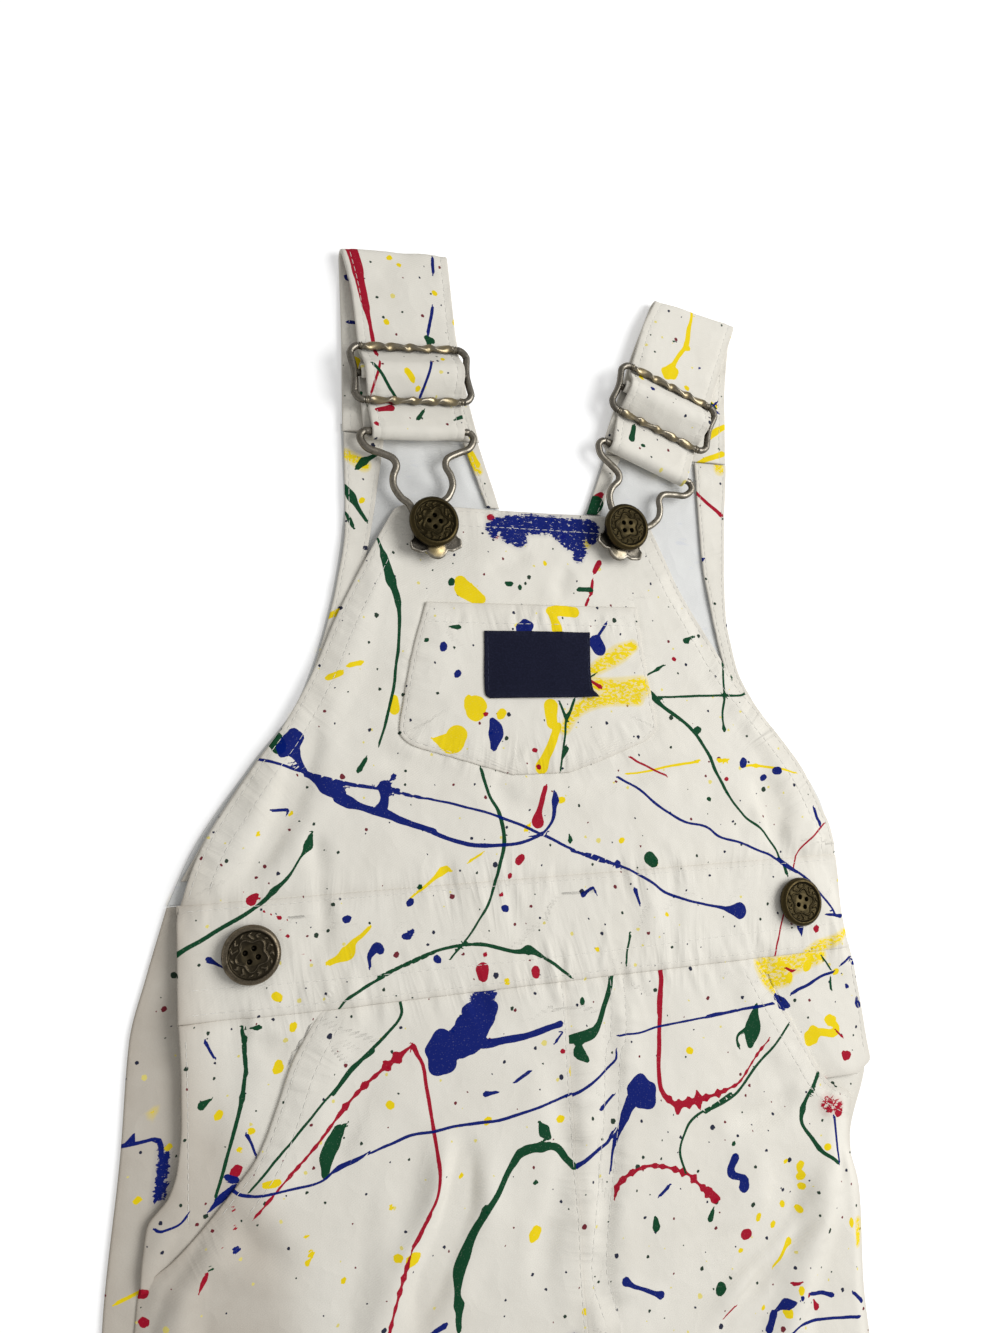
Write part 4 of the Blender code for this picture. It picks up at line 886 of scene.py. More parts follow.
# What was spilt: drips and drops by colour, each a few points (x, y, half-width) that a curve runs through.
drips = {
    "bib": {
        "blue": [[(-72, 47, 0.5), (-67, 43, 1.8), (-63, 41, 2), (-60, 38, 1.6), (-36, 29, 0.8)],
            [(-52, 36, 0.8), (-30, 26, 0.6), (-20, 24, 0.6), (-10, 24, 0.5), (-3, 27, 0.4), (1, 31, 0.5),
             (2, 36, 1.4), (2, 38, 0.6)], [(-72, 46, 0.3), (-36, 38, 0.3)],
            [(-52, 42, 0.3), (-16, 32, 0.5), (9, 20, 0.4), (20, 16, 0.4)],
            [(6, 21, 0.4), (21, 16, 0.4), (40, 5, 0.4), (55, 1, 0.5), (58, 0, 0.8), (62, -1, 2.8)],
            [(21, 16, 1.2)], [(-50, 42, 2), (-50, 39, 1.2), (-51, 36, 1.6)], [(24, 42, 0.4), (29, 39, 0.4),
             (42, 29, 0.4), (53, 25, 0.4), (58, 22, 0.4), (70, 18, 0.4), (85, 9, 0.4)],
            [(79, 14, 0.4), (89, 6, 0.5), (98, -4, 0.4)], [(95, -5, 0.4), (101, -6, 0.8)],
            [(84, -8, 1.4), (84, -10, 0.3)], [(95, 29, 0.6), (96, 24, 0.8)], [(69, 45, 1.6)],
            [(9, 8, 0.8), (12, 10, 0.4), (13, 8, 0.3)], [(26, 8, 0.8), (27, 4, 0.4)],
            [(-46, 1, 0.6), (-44, 2, 0.8)],
            [(-53, -2, 1.2), (-54, -1, 1.4), (-56, -3, 0.8), (-56, -6, 0.4)], [(-98, 0, 1), (-95, -2, 0.3)],
            [(-81, 37, 0.4), (-77, 37, 0.5), (-77, 36, 0.3)], [(-44, 10, 1.2)], [(-62, 7, 1.2)],
            [(-16, 6, 1.2)], [(-37, -6, 1.2)], [(-47, 45, 0.8)], [(-45, 1, 1), (-46, 1, 0.8)],
            [(-75.5, 55.5, 3.3)], [(-77, 53.5, 2.6)], [(-75, 53, 1.8), (-72.6, 48.5, 0.7), (-71, 46, 0.7)],
            [(-85, 51, 0.4), (-79, 49, 0.4), (-72, 47, 0.4), (-62, 44, 0.5), (-46, 41, 0.5)],
            [(69, 45, 1.25)], [(-47.5, 44.5, 0.9)], [(81, 42, 1.3), (82, 42, 1.3)], [(76.7, 40, 1.2)]],
        "green": [[(-21, 46, 0.5), (-19, 39, 0.5), (-16, 33, 0.6), (-15, 25, 0.6), (-17, 18, 0.6),
             (-23, 5, 0.4), (-33, -6, 0.3)], [(-106, 2, 0.8), (-86, 12, 0.5), (-81, 16, 1), (-77, 20, 0.4),
             (-74, 24, 0.3), (-72, 27, 1.6), (-71, 30, 0.6)],
            [(-65, -16, 0.3), (-62, -13, 0.5), (-53, -9, 0.4), (-38, -4, 0.5)], [(-54, -9, 0.5),
             (-38, -4, 0.4), (-26, -3, 0.5), (-14, -6, 0.6), (-10, -6, 1.4), (-6, -8, 0.6), (3, -15, 0.4)],
            [(35, 68, 0.6), (35, 64, 0.4)], [(37, 74, 0.3), (41, 76, 0.8), (43, 77, 0.3)],
            [(15, 101, 0.8), (19, 101, 0.8)], [(23, -5, 0.5), (21, -13, 0.3)], [(32, 17, 2), (33, 16, 2)],
            [(55, 34, 0.8)], [(-9, 102, 0.8), (-8, 102, 0.8)], [(-5, 101, 0.8)], [(-27, 102, 1.2)],
            [(-41, 14, 0.8)], [(6, 24, 0.8), (6, 25, 0.4)], [(-49, 114, 0.4), (-47.5, 109, 1.2),
             (-45.5, 102, 1.7), (-44, 95, 0.9), (-44, 86, 0.5), (-46, 72, 0.45), (-49, 60, 0.45),
             (-51, 54, 0.35)], [(36, 67, 0.35), (50, 67, 0.4), (71, 67, 0.4), (72, 71, 0.5)],
            [(65, 78, 0.4), (64, 67, 0.45), (63, 58, 0.4), (63, 56, 0.8)], [(65, 78, 0.3), (71, 74, 0.3)],
            [(68.5, 77, 0.4), (68, 73, 0.5)], [(53, 56, 1.3)], [(52, 85, 1.1)],
            [(52, 85.5, 0.5), (55, 86.5, 0.4)], [(-55, 50, 0.6), (-57, 47, 0.9)],
            [(-80, 56, 2.2), (-79, 54, 2)], [(37, 68, 1), (40, 65, 0.9), (45, 61, 0.6), (51, 56, 0.6),
             (55, 50, 0.6), (58, 44, 0.6), (62, 35, 0.5), (67, 28, 0.4), (74, 23, 0.4), (80, 13, 0.5),
             (81, 9, 0.6)]],
        "red": [[(23, 110, 1), (21, 107, 0.8)], [(20, 104, 0.5), (19, 100, 0.8)],
            [(18, 98, 0.5), (17, 96, 0.5)], [(-1, 40, 0.8), (-3, 34, 0.8), (-4, 30, 2)],
            [(-11, 19, 1.2), (-10, 20, 1.2)], [(-14, 15, 0.8)], [(-17, 10, 0.8)],
            [(28, 48, 0.3), (40, 42, 0.3)], [(-87, 14, 1.4), (-86, 15, 0.8)], [(-80, 6, 0.5)],
            [(98, 24, 0.3), (88, 17, 0.3), (84, 11, 0.3)], [(78, -4, 0.3), (73, -16, 0.3)],
            [(-89, 16, 0.35)], [(-85, 15, 0.4)], [(-87, 21, 0.5)], [(-84, 11, 0.5)], [(-82, 10, 0.4)],
            [(-80, 9, 0.7)], [(-78, 8, 0.4)], [(-78, 4, 0.6)], [(-74, -1, 0.4)], [(-72, -3, 0.5)],
            [(-24, -10, 2), (-24, -12, 1.2)], [(-8, -12, 1.4), (-8, -13, 1.2)], [(-23, -6, 0.8)],
            [(90, -9, 1.2)], [(62, 40, 0.8)], [(-13, 123, 1.2)], [(47, 79, 0.8)]],
        "yellow": [[(-24, 102, 1.6), (-23, 100, 3), (-20, 98, 2.4), (-18, 97, 1.2)],
            [(-46, 67, 1.2), (-46, 64, 1.6)], [(-44, 11, 0.3), (-34, 18, 1.4), (-32, 18, 0.5)],
            [(-26, 20, 0.5), (-22, 22, 0.3)], [(-67, -4, 0.8), (-62, -2, 2), (-60, 1, 0.8), (-56, 4, 0.6)],
            [(27, 43, 0.3), (52, 46, 0.6)], [(60, 46, 0.8), (63, 46, 0.5)], [(62, 46, 0.8)],
            [(70, 44, 0.4), (74, 44, 0.8), (89, 41, 0.3)], [(-81, -11, 1.4)], [(4, 109, 0.8)],
            [(-85, 31, 0.8)], [(-76, 36, 0.8)], [(23, 23, 1)], [(4, 36, 1.2)], [(36, 0, 0.8)],
            [(12, -8, 0.8)], [(-17, -14, 1)], [(-8, 28, 0.8), (-7, 29, 0.6)],
            [(-65, 73, 0.9), (-61.5, 74.3, 0.9)], [(-59, 76.5, 0.7), (-55.5, 77.3, 0.8)]],
    },
    "bib_pocket": {
        "blue": [[(-5, 88, 2.8)], [(19, 84, 2.4), (20, 82, 2.2)], [(20, 86, 0.5), (23, 90, 0.5)],
            [(13, 78, 0.5), (15, 79, 0.5)], [(-17, 60, 0.5), (-16, 58, 2.4), (-16, 56, 2.4), (-17, 52, 1)],
            [(-31, 82, 1.4)], [(-27, 74, 1.2)]],
        "green": [[(-28, 88, 0.5), (-26, 88, 0.8)], [(-36, 84, 0.8)],
            [(5, 65, 0.4), (7, 61, 0.8), (10, 66, 0.4)], [(7, 61, 0.6), (4, 45, 0.3)],
            [(6, 51, 1), (5, 49, 0.5)], [(14, 72, 0.4), (18, 74, 0.3)]],
        "red": [[(16, 72, 0.4), (19, 70, 0.8)], [(-19, 62, 0.8)], [(-4, 51, 0.8)], [(-3, 46, 0.8)]],
        "yellow": [[(-35, 55, 0.4), (-30, 54, 3.4), (-28, 56, 2.8)],
            [(4, 93.6, 1.4), (8, 93.8, 1.9), (12.4, 93.4, 1.7)],
            [(4.4, 93, 1.3), (5.4, 90, 1.5), (5.8, 87.6, 1.8)], [(4, 58, 1.2), (-2, 46, 2)],
            [(-22, 64, 3.6), (-22, 63, 2.8)], [(-24, 66, 1.6)], [(-14, 62, 1.6)],
            [(2, 64, 2.2), (2, 59, 1.8)]],
    },
    "hip_left": {
        "blue": [[(-99, -20, 0.5), (-97, -24, 0.3)], [(-89, -44, 0.5), (-87, -49, 0.3)],
            [(-111, -61.8, 0.35), (-109.8, -62.4, 0.35), (-106.6, -61.7, 0.3), (-104.9, -61, 0.3),
             (-103.5, -59.6, 0.35)], [(-94, -53, 0.8), (-92, -54, 0.8)],
            [(-98.5, -60, 0.4), (-96, -58, 1.1), (-93, -56, 0.9)]],
        "green": [[(-89, -20, 0.4), (-90, -35, 0.8), (-97, -57, 0.4)], [(-90, -18, 0.5), (-89, -29, 0.5)],
            [(-86, -18, 0.8), (-87, -18, 0.5)], [(-100, -35, 1.2), (-98, -34, 0.3)]],
        "red": [[(-92, -52, 1.6)], [(-81, -44, 1)], [(-114.1, -75.7, 1.4)]],
        "yellow": [[(-96, -38, 1.2)], [(-81, -29, 1.4)], [(-88, -43, 1)], [(-91, -47, 0.8)],
            [(-89, -55, 0.8)], [(-77, -19, 1.2)], [(-81, -28, 1.2)]],
    },
    "hip_right": {
        "blue": [[(79, -28, 0.5), (87, -25, 0.6), (95, -23, 0.4)], [(98, -21, 0.4), (102, -19, 0.4)],
            [(103.2, -21, 0.8)], [(100.3, -28, 0.9)], [(103.8, -34, 1.2)], [(103.6, -32.5, 0.8)],
            [(72.4, -28, 0.8), (75, -30.3, 1.9), (77.2, -31.5, 0.8)], [(74, -29, 1), (74, -31.4, 1)]],
        "green": [[(94, -25, 0.4), (94, -28, 0.5)], [(91, -18, 0.4), (94, -22, 0.3)]],
        "red": [[(76, -44, 1.2)], [(97, -49, 1.6)], [(96, -48, 0.8)], [(94, -41, 0.3), (96, -43, 0.4)],
            [(77, -20, 0.4), (79, -21, 0.6), (80, -21, 0.3)]],
        "yellow": [[(85, -41.5, 2.9)], [(85, -41.5, 1.4), (88.2, -40.9, 1.2), (92.6, -41.6, 1.3)],
            [(92.3, -37.6, 2)], [(93, -38.4, 1.2), (94.4, -40, 1.1), (94, -41.4, 1)], [(83, -51, 1.2)],
            [(78, -23, 1.6)], [(85, -20, 1.8)], [(96, -23, 1.2)]],
    },
    "front_leg_left": {
        "blue": [[(-31, -29, 2.0), (-22, -29.7, 1.2), (-12, -29.6, 0.9), (-1.4, -27.4, 0.9)],
            [(-93, -56, 0.5), (-89, -58, 0.4), (-72, -58, 0.3), (-66, -55, 0.4), (-59, -53, 0.3)],
            [(-67, -56, 0.3), (-59, -53, 0.4)], [(-58, -53, 0.3), (-54, -52, 0.4)],
            [(-54, -52, 0.4), (-41, -50, 0.4), (-20, -50, 0.4), (0, -47, 0.4)],
            [(0, -47, 0.4), (6, -45, 0.3)], [(-16, -41, 0.5), (-12, -39, 0.5)],
            [(-25, -43, 0.8), (-22, -43, 0.4)], [(-3, -32, 0.5), (-1, -30, 0.3)], [(-92.3, -69.6, 1.1)],
            [(-43, -99, 0.6), (-40, -98, 0.8)], [(-37, -30.7, 5.3)], [(-29.6, -27, 5.4)],
            [(-27.2, -24.4, 5.4)], [(-25.4, -21.4, 4.6)]],
        "green": [[(-36, -100, 0.8), (-36, -90, 0.8), (-35, -84, 0.8), (-27, -72, 1.2)], [(-36, -98, 0.8),
             (-36, -94, 1.6), (-36, -90, 0.8), (-33, -83, 0.8), (-30, -77, 0.8), (-18, -62, 1.2),
             (-16, -60, 1.2), (-10, -59, 1.4), (-5, -60, 1), (0, -66, 1)],
            [(-9.6, -53.2, 0.4), (-8.5, -55.2, 2), (-7.2, -56.8, 0.6)],
            [(-48, -15, 0.5), (-49, -21, 0.4), (-62, -32, 0.4)],
            [(-56, -28, 0.4), (-65, -34, 0.5), (-89, -57, 0.3)],
            [(-48, -18, 0.3), (-49, -21, 0.4), (-63, -33, 0.4), (-67, -37, 0.5)],
            [(-64, -45, 0.3), (-65, -48, 0.3)],
            [(-66, -46.4, 1.4), (-67.6, -49.6, 2.2), (-69, -52.6, 1.9), (-69.8, -56.3, 1)],
            [(-12, -68, 0.8)], [(-65.6, -46, 0.5), (-64, -45, 0.3)], [(-98.5, -72.3, 0.9)]],
        "red": [[(-45, -28, 0.8), (-44, -30, 0.6), (-42, -36, 0.5), (-40, -60, 0.5), (-45, -73, 0.4),
             (-48, -77, 0.6)], [(-43, -70, 0.5), (-48, -77, 0.5)], [(-114.1, -75.7, 1.4)],
            [(-113.7, -82.1, 1.3)], [(-92.9, -60.1, 0.7)], [(-92.5, -64.5, 0.7)], [(-90.8, -66.7, 0.4)],
            [(-95.6, -68, 0.35)], [(-99.4, -73.4, 0.4), (-100.2, -74.8, 0.9), (-101, -76.9, 0.35)],
            [(-1, -35, 0.8)]],
        "yellow": [[(-13, -81, 2)], [(-48, -80, 2)], [(-52, -79, 1.2)], [(-52, -42, 1.2)],
            [(-53, -67, 0.8)], [(-66, -82, 0.8)], [(-33, -63, 0.8)], [(-25, -50, 1.2)], [(-3, -53, 1.2)],
            [(-75, -70, 0.8)], [(-74, -74, 1)], [(-75, -76, 0.8)], [(-66, -82, 0.8)],
            [(-85, -56, 0.8), (-82, -56, 1)], [(2, -38, 0.6), (1, -41, 0.5)], [(0, -103, 1)]],
    },
    "front_leg_right": {
        "blue": [[(17, -33, 0.3), (69, -30, 0.4)], [(47, -31, 0.4), (71, -30, 0.5)],
            [(-3, -48, 0.4), (1, -47, 0.5), (8, -44, 0.4), (15, -40, 0.4), (16, -37, 0.3)],
            [(19.8, -51, 2.2), (16.7, -55.6, 1.3), (13.5, -61.8, 0.7), (11.3, -69.2, 0.3)],
            [(1, -66, 0.8), (10, -62, 0.5), (13, -59, 0.5)], [(10, -52, 0.8), (14, -49, 0.4)],
            [(52, -72, 1.4), (50, -76, 1.2), (54, -78, 1), (54, -80, 2)],
            [(13, -98, 1.2), (18, -101, 0.5), (24, -104, 1.2)], [(58, -120, 1), (60, -116, 1)],
            [(61, -115, 0.4), (64, -114, 1.6), (66, -114, 0.8)], [(69, -113, 0.8)],
            [(73, -113, 0.6), (82, -116, 0.8)], [(64, -122, 0.5), (70, -121, 0.4), (91, -124, 0.5)],
            [(90, -117, 0.5), (93, -120, 0.8)], [(26, -78, 0.4), (29, -76, 0.6)],
            [(89, -66, 0.5), (89, -79, 0.5)], [(23.1, -49.4, 4.7)], [(72.5, -28.2, 1)], [(74.5, -30, 1.9)],
            [(75.6, -31, 1.6)]],
        "green": [[(17, -14, 0.8), (11, -29, 0.8), (8, -31, 1.2), (0, -32, 1)],
            [(15, -19, 0.5), (10, -30, 1.2), (6, -32, 1.4), (0, -32, 1.2)],
            [(4, -34, 0.8), (4, -36, 2), (6, -38, 0.8)],
            [(64.6, -30.1, 0.8), (63.7, -33, 1.6), (62.8, -36.7, 2.7), (62.1, -39, 2.2), (61.6, -41, 0.8)],
            [(60.4, -36.6, 0.7), (58, -37.5, 0.5), (57, -39.2, 0.4), (57.4, -41, 0.6)],
            [(76, -37, 0.4), (55, -54, 0.4), (44, -58, 0.4)],
            [(53, -54, 0.4), (40, -59, 0.4), (36, -63, 0.4), (34, -68, 0.4), (35, -73, 0.4)],
            [(85, -53, 0.8), (80, -59, 0.6), (78, -62, 1.2), (77, -66, 0.6), (82, -74, 0.8),
             (88, -79, 0.6)], [(84, -54, 0.3), (82, -58, 0.3)], [(24, -84, 0.8), (24, -86, 1.2)],
            [(43, -85, 0.6), (42, -87, 1)], [(6, -22, 1)], [(52, -68, 0.8)],
            [(43, -107, 1), (44, -106, 1.2)]],
        "red": [[(33, -13, 0.8), (31, -28, 0.8)],
            [(32, -21, 0.7), (29.4, -44, 0.7), (30, -51, 0.7), (33, -54, 0.7)],
            [(42, -79, 0.8), (45, -82, 0.8)], [(54, -94, 1.6), (55, -94, 1.2)],
            [(48, -112, 0.3), (44, -114, 0.3)], [(72, -113, 0.8)], [(75, -116, 0.4), (76, -118, 1.2)],
            [(67, -109, 0.5), (69, -109, 0.4)], [(91, -65, 1.6)]],
        "yellow": [[(75, -78, 1.4)], [(75, -81, 1.4)], [(75, -84, 1.2)], [(73, -90, 1.2)], [(68, -88, 1)],
            [(59, -90, 1.2)], [(64, -93, 1)], [(70, -76, 0.8)], [(52, -98, 0.8)],
            [(68, -98, 1.2), (62, -104, 0.3)], [(64, -116, 1.6)], [(69, -111, 1.2)], [(57, -114, 0.8)],
            [(92, -97, 0.8), (92, -98, 0.8)], [(85, -74, 1.2)], [(40, -40, 1.2)]],
    },
    "back_leg_left": {
        "blue": [[(-120.8, -39.4, 0.35), (-119.6, -42, 0.5), (-116.3, -41.7, 0.45), (-109.8, -41.6, 0.4)],
            [(-116.2, -40.2, 0.8)], [(-109.7, -42.4, 0.7), (-109.5, -47, 0.6)],
            [(-109.9, -53.6, 0.5), (-110.9, -56, 0.8)]],
        "red": [[(-116.3, -43.2, 0.8)], [(-114.1, -75.7, 1.4)], [(-113.7, -82.1, 1.3)]],
        "yellow": [[(-106, -34, 1.2)], [(-108, -44, 1.2)], [(-115, -55, 1.2)],
            [(-120, -77, 0.5), (-109, -74, 0.4)]],
    },
    "back_yoke_right": {"yellow": [[(75, 156, 1.6), (72, 148, 1.6)]]},
    "armhole_facing_left": {
        "green": [[(-58, 130, 0.8), (-56, 127, 1.6), (-52, 120, 0.5)],
            [(-54, 136, 0.8), (-52, 138, 1.3), (-46, 142, 0.5)],
            [(-58, 122, 0.4), (-57, 120, 0.8), (-56, 118, 0.6)]],
        "yellow": [[(-53, 126, 1)], [(-65.5, 90.3, 0.8), (-61, 92.2, 1.1)]],
    },
    "armhole_facing_right": {
        "blue": [[(60, 112, 0.5), (62, 113, 0.6)], [(68, 156, 0.5), (70, 159, 0.8)]],
        "red": [[(60, 138, 0.6), (71, 129, 0.8)]],
        "yellow": [[(64, 148, 0.8), (66, 150, 1.6), (71, 150, 1.6)]],
    },
    "neck_facing_left": {
        "green": [[(-21, 146, 0.6), (-20, 142, 1)]],
        "yellow": [[(-18, 144, 0.8), (-16, 140, 1)]],
    },
    "neck_facing_right": {
        "green": [[(20, 126, 1.3), (22, 128, 2.6), (24, 130, 2.6)]],
        "red": [[(24, 132, 1), (26, 133, 1)]],
    },
    "strap_left": {
        "blue": [[(-28, 206, 0.5), (-28, 201, 0.5)], [(-29, 189, 0.5), (-31, 180, 0.6)],
            [(-32, 168, 0.5), (-35, 158, 0.4)]],
        "green": [[(-50, 165, 0.6), (-42, 157, 0.4)], [(-36, 151, 0.8), (-34, 154, 0.5)],
            [(-24, 152, 0.6), (-22, 153, 0.8)], [(-31.2, 178.2, 1.2)], [(-29.8, 177.6, 1)],
            [(-31, 176.8, 0.9)]],
        "red": [[(-54, 207, 1.8), (-52, 198, 1.8), (-50, 186, 1.2), (-49, 180, 0.6), (-48, 170, 0.7)],
            [(-48, 166, 0.4), (-50, 158, 0.4)], [(-48, 153, 0.8), (-44, 154, 1.2)], [(-49, 148, 0.8)]],
        "yellow": [[(-40, 164, 1), (-38, 162, 0.8)], [(-42, 204, 1)], [(-39, 202, 0.8)], [(-28, 194, 1)],
            [(-44, 182, 1)], [(-22, 185, 1)], [(-28, 170, 0.8)], [(-36, 160, 0.8)]],
    },
    "strap_right": {
        "blue": [[(44, 168, 1)], [(66, 180, 0.6)]],
        "green": [[(57, 189, 0.6)], [(38, 156, 0.8), (36, 151, 1.2)], [(40, 149, 0.8)]],
        "yellow": [[(67, 205, 0.5), (64, 195, 0.8), (62, 188, 1), (58, 183, 0.7), (55, 179, 1.4)],
            [(54, 177, 3)], [(62, 187, 1.2)], [(60, 172, 1)], [(42, 173, 1)]],
    },
}
# Lines that are strings of small beads.
beads = {
    "front_leg_left": {
        "red": [[(-45.8, -28, 0.5), (-49, -30, 1.1), (-54, -33, 0.6), (-62, -39, 0.5), (-73, -50, 0.42),
             (-80, -56, 0.3), (-88, -63, 0.28)], [(-49, -79, 0.6), (-53, -90, 0.5), (-56, -99, 0.5)]],
    },
    "front_leg_right": {
        "red": [[(29, -49, 0.7), (33, -54, 0.7), (37, -54.5, 1.5), (44, -54, 0.9), (48, -53.5, 0.6),
             (53, -52.5, 0.45), (57, -51, 0.4), (63, -45, 0.3), (68, -40.5, 0.28)], [(12, -76, 0.6),
             (13, -73, 0.6), (17, -70.5, 0.6), (22.5, -69.5, 0.6), (28, -70.5, 0.55), (32, -72, 0.5)],
            [(32, -72, 0.5), (36, -74, 0.6), (39, -77, 0.6), (44, -82, 1.1)]],
    },
}
smears = {
    "bib": {
        "blue": [[(-13, 119.6, 2.6), (-9, 121, 3.4), (-3, 121.2, 4.2), (6, 121.6, 4), (14, 120.6, 4.6),
             (20.5, 120.8, 4.2)], [(-8, 117.4, 3.2), (-4.4, 116.6, 3.6)], [(-12.6, 117.8, 2)],
            [(9, 119, 2.4), (12.4, 117.4, 3.8), (15.4, 115.8, 3.8)], [(16.4, 113.8, 3), (15.8, 111.6, 2.4)],
            [(21, 117.5, 2.2)]],
        "red": [[(-13, 123, 1.8)], [(-12, 117, 1.4)], [(11, 118, 1.2)]],
        "yellow": [[(19, 116, 1.6)]],
    },
    "waistband": {"yellow": [[(85, -16, 1.4), (90, -14.4, 2), (95, -13.6, 1.8), (102.4, -10.6, 1.1)]]},
    "bib_pocket": {
        "yellow": [[(32, 83, 2), (26, 80, 3), (17, 75, 2)], [(14, 71, 2), (24, 70, 2.8), (34, 70, 3.4)],
            [(32, 66, 2.2), (20, 66, 2.4), (11, 63, 2.2), (6, 57, 1.8)]],
    },
    "hip_right": {
        "red": [[(88, -56, 2)]],
        "yellow": [[(70, -19, 3.8), (77, -19, 3.6), (90, -17, 2.8)], [(72, -24, 2.4), (77, -23, 2.6)]],
    },
    "front_leg_left": {"blue": [[(-23.4, -15.4, 4), (-24.6, -19.5, 5)], [(-14, -111, 2.2), (-4, -110, 3)]]},
    "front_leg_right": {
        "red": [[(87, -62, 3.4), (91, -63, 2.6)]],
        "yellow": [[(68, -18, 2.6), (70, -22, 2.8), (72, -26, 1.6)], [(95, -98, 1.6), (94, -104, 1.2)]],
    },
    "back_leg_left": {
        "blue": [[(-109.5, -44, 1.8), (-109.3, -50, 2.4), (-110.4, -55, 2.2)]],
        "yellow": [[(-112, -36, 1.4)]],
    },
    "armhole_facing_right": {
        "blue": [[(70, 157, 1.2)]],
        "yellow": [[(66, 150, 2), (72, 153, 2.6), (72, 145, 2)]],
    },
    "armhole_facing_left": {"yellow": [[(-57, 140, 1.8), (-52, 137, 2.2)]]},
    "neck_facing_left": {"yellow": [[(-19, 144, 1.6), (-16, 138, 1.6)]]},
}
printLook = {"wander": 0.40, "bead": 0.11, "drop": 0.95, "taper": 0.30, "seed": 40, "reach": 2.5}
outOfReach = 9.0  # a distance to what is too far off to matter


def paintStroke(stroke, number):
    # the curve through a stroke's points, made to wander as it runs; from a wide point to a thin one the
    # half-width is part straight taper and part bell, so that drops sit on a thread
    if len(stroke) == 1:
        return np.array(stroke, float)
    path = curveThrough(stroke, 0.9)
    along = lengths(path[:, :2])
    calmEnds = easeTo(along / 4.0) * easeTo((along[-1] - along) / 4.0)
    seed = printLook["seed"] + number
    points = np.array(stroke, float)
    ends = np.array([along[np.hypot(path[:, 0] - x, path[:, 1] - y).argmin()] for x, y, _ in stroke])
    big, small = points[:-1, 2], points[1:, 2]
    span = np.clip(np.searchsorted(ends, along, side="right") - 1, 0, len(big) - 1)
    forward = big[span] >= small[span]
    wide, thin = np.maximum(big, small)[span], np.minimum(big, small)[span]
    gone = np.where(forward, along - ends[span], ends[span + 1] - along)
    share = gone / np.maximum(ends[span + 1] - ends[span], 0.01)
    bell = np.exp(-(gone / (printLook["drop"] * wide)) ** 2)
    taper = printLook["taper"]
    path[:, 2] = thin + (wide - thin) * np.clip(taper * (1.0 - share) + (1.0 - taper) * bell, 0.0, 1.0)
    path[:, 0] += ripples(along, 5.5, seed) * printLook["wander"] * calmEnds
    path[:, 1] += ripples(along, 6.5, seed + 400) * printLook["wander"] * calmEnds
    path[:, 2] *= 1.0 + printLook["bead"] * ripples(along, 2.6, seed + 800)
    return path


def inkAt(x, y, strokes):
    # nearest stroke by distance less half-width: signed offset, distance and half-width
    side, far, clear = (np.full(x.shape, outOfReach) for _ in range(3))
    wide = np.zeros(x.shape)
    for number, stroke in enumerate(strokes):
        path = stroke if isinstance(stroke, np.ndarray) else paintStroke(stroke, number)
        cx, cy, dot = path[0]
        spots, signed, off, _, at = around(x, y, path if len(path) > 1 else np.repeat(path, 2, 0),
                                           path[:, 2].max() + printLook["reach"])
        if len(path) == 1:
            signed = off = np.hypot(x[spots] - cx, y[spots] - cy)
            turn = np.arctan2(y[spots] - cy, x[spots] - cx)
            width = dot * (1.0 + 0.14 * np.sin(2 * turn + number) + 0.07 * np.sin(5 * turn))
        else:
            width = np.interp(at, np.arange(len(path)), path[:, 2])
        better = off - width < clear[spots]
        chosen = spots[better]
        clear[chosen] = (off - width)[better]
        side[chosen], far[chosen], wide[chosen] = signed[better], off[better], width[better]
    return np.stack([side, far, wide], 1)


def smearAt(x, y, strokes):
    # 1 along the middle of each dry-brushed stroke, falling to 0 at its rim
    most = np.zeros(x.shape)
    for stroke in strokes:
        path = curveThrough(stroke, 1.0) if len(stroke) > 1 else np.array(stroke * 2, float)
        spots, _, far, _, at = around(x, y, path, 8.0)
        width = np.interp(at, np.arange(len(path)), path[:, 2]) * 1.35
        most[spots] = np.maximum(most[spots], (1.0 - far / width) * 1.9)
    return np.clip(most, 0.0, 1.0)


spatterLook = {"shares": (0.30, 0.27, 0.21, 0.22), "round": 0.35, "headed": 0.70, "long": 0.80}


def spatter(seed, corners, count):
    # more of the same for what nothing above covers: long drips, short flicks and round drops at random
    dice = np.random.default_rng(seed)
    x0, y0, x1, y1 = corners
    made = {dye: [] for dye in inkColours}
    for _ in range(count):
        dye = ("blue", "green", "red", "yellow")[int(dice.choice(4, p=spatterLook["shares"]))]
        x, y = dice.uniform(x0, x1), dice.uniform(y0, y1)
        kind = dice.uniform()
        if kind < spatterLook["round"]:
            made[dye].append([(x, y, dice.uniform(0.8, 2.2))])
            continue
        turn, steps, stride = dice.uniform(0, 2 * math.pi), 3, dice.uniform(2.0, 5.0)
        width = dice.uniform(0.4, 0.9)
        if kind > spatterLook["long"]:
            steps, stride = 5, dice.uniform(9.0, 15.0)
        line = []
        for step in range(steps):
            head = 2.2 if step == 0 and kind > spatterLook["headed"] else 1.0
            line.append((x, y, width * dice.uniform(0.6, 1.5) * head))
            turn += dice.uniform(-0.55, 0.55)
            x, y = x + stride * math.cos(turn), y + stride * math.sin(turn)
        made[dye].append(line)
    return made


def strung(stroke, number):
    # a thread through a stroke's points, swollen to a knot of paint every few millimetres
    path = curveThrough(stroke, 0.5)
    run = lengths(path[:, :2])
    dice = np.random.default_rng(printLook["seed"] + 70 + number)
    knots = np.cumsum(dice.uniform(2.2, 4.6, 80))
    grow = dice.uniform(0.3, 1.5, 80)
    path[:, 2] *= 0.65 + 1.5 * (grow * np.exp(-((run[:, None] - knots) / 0.75) ** 2)).max(1)
    return path


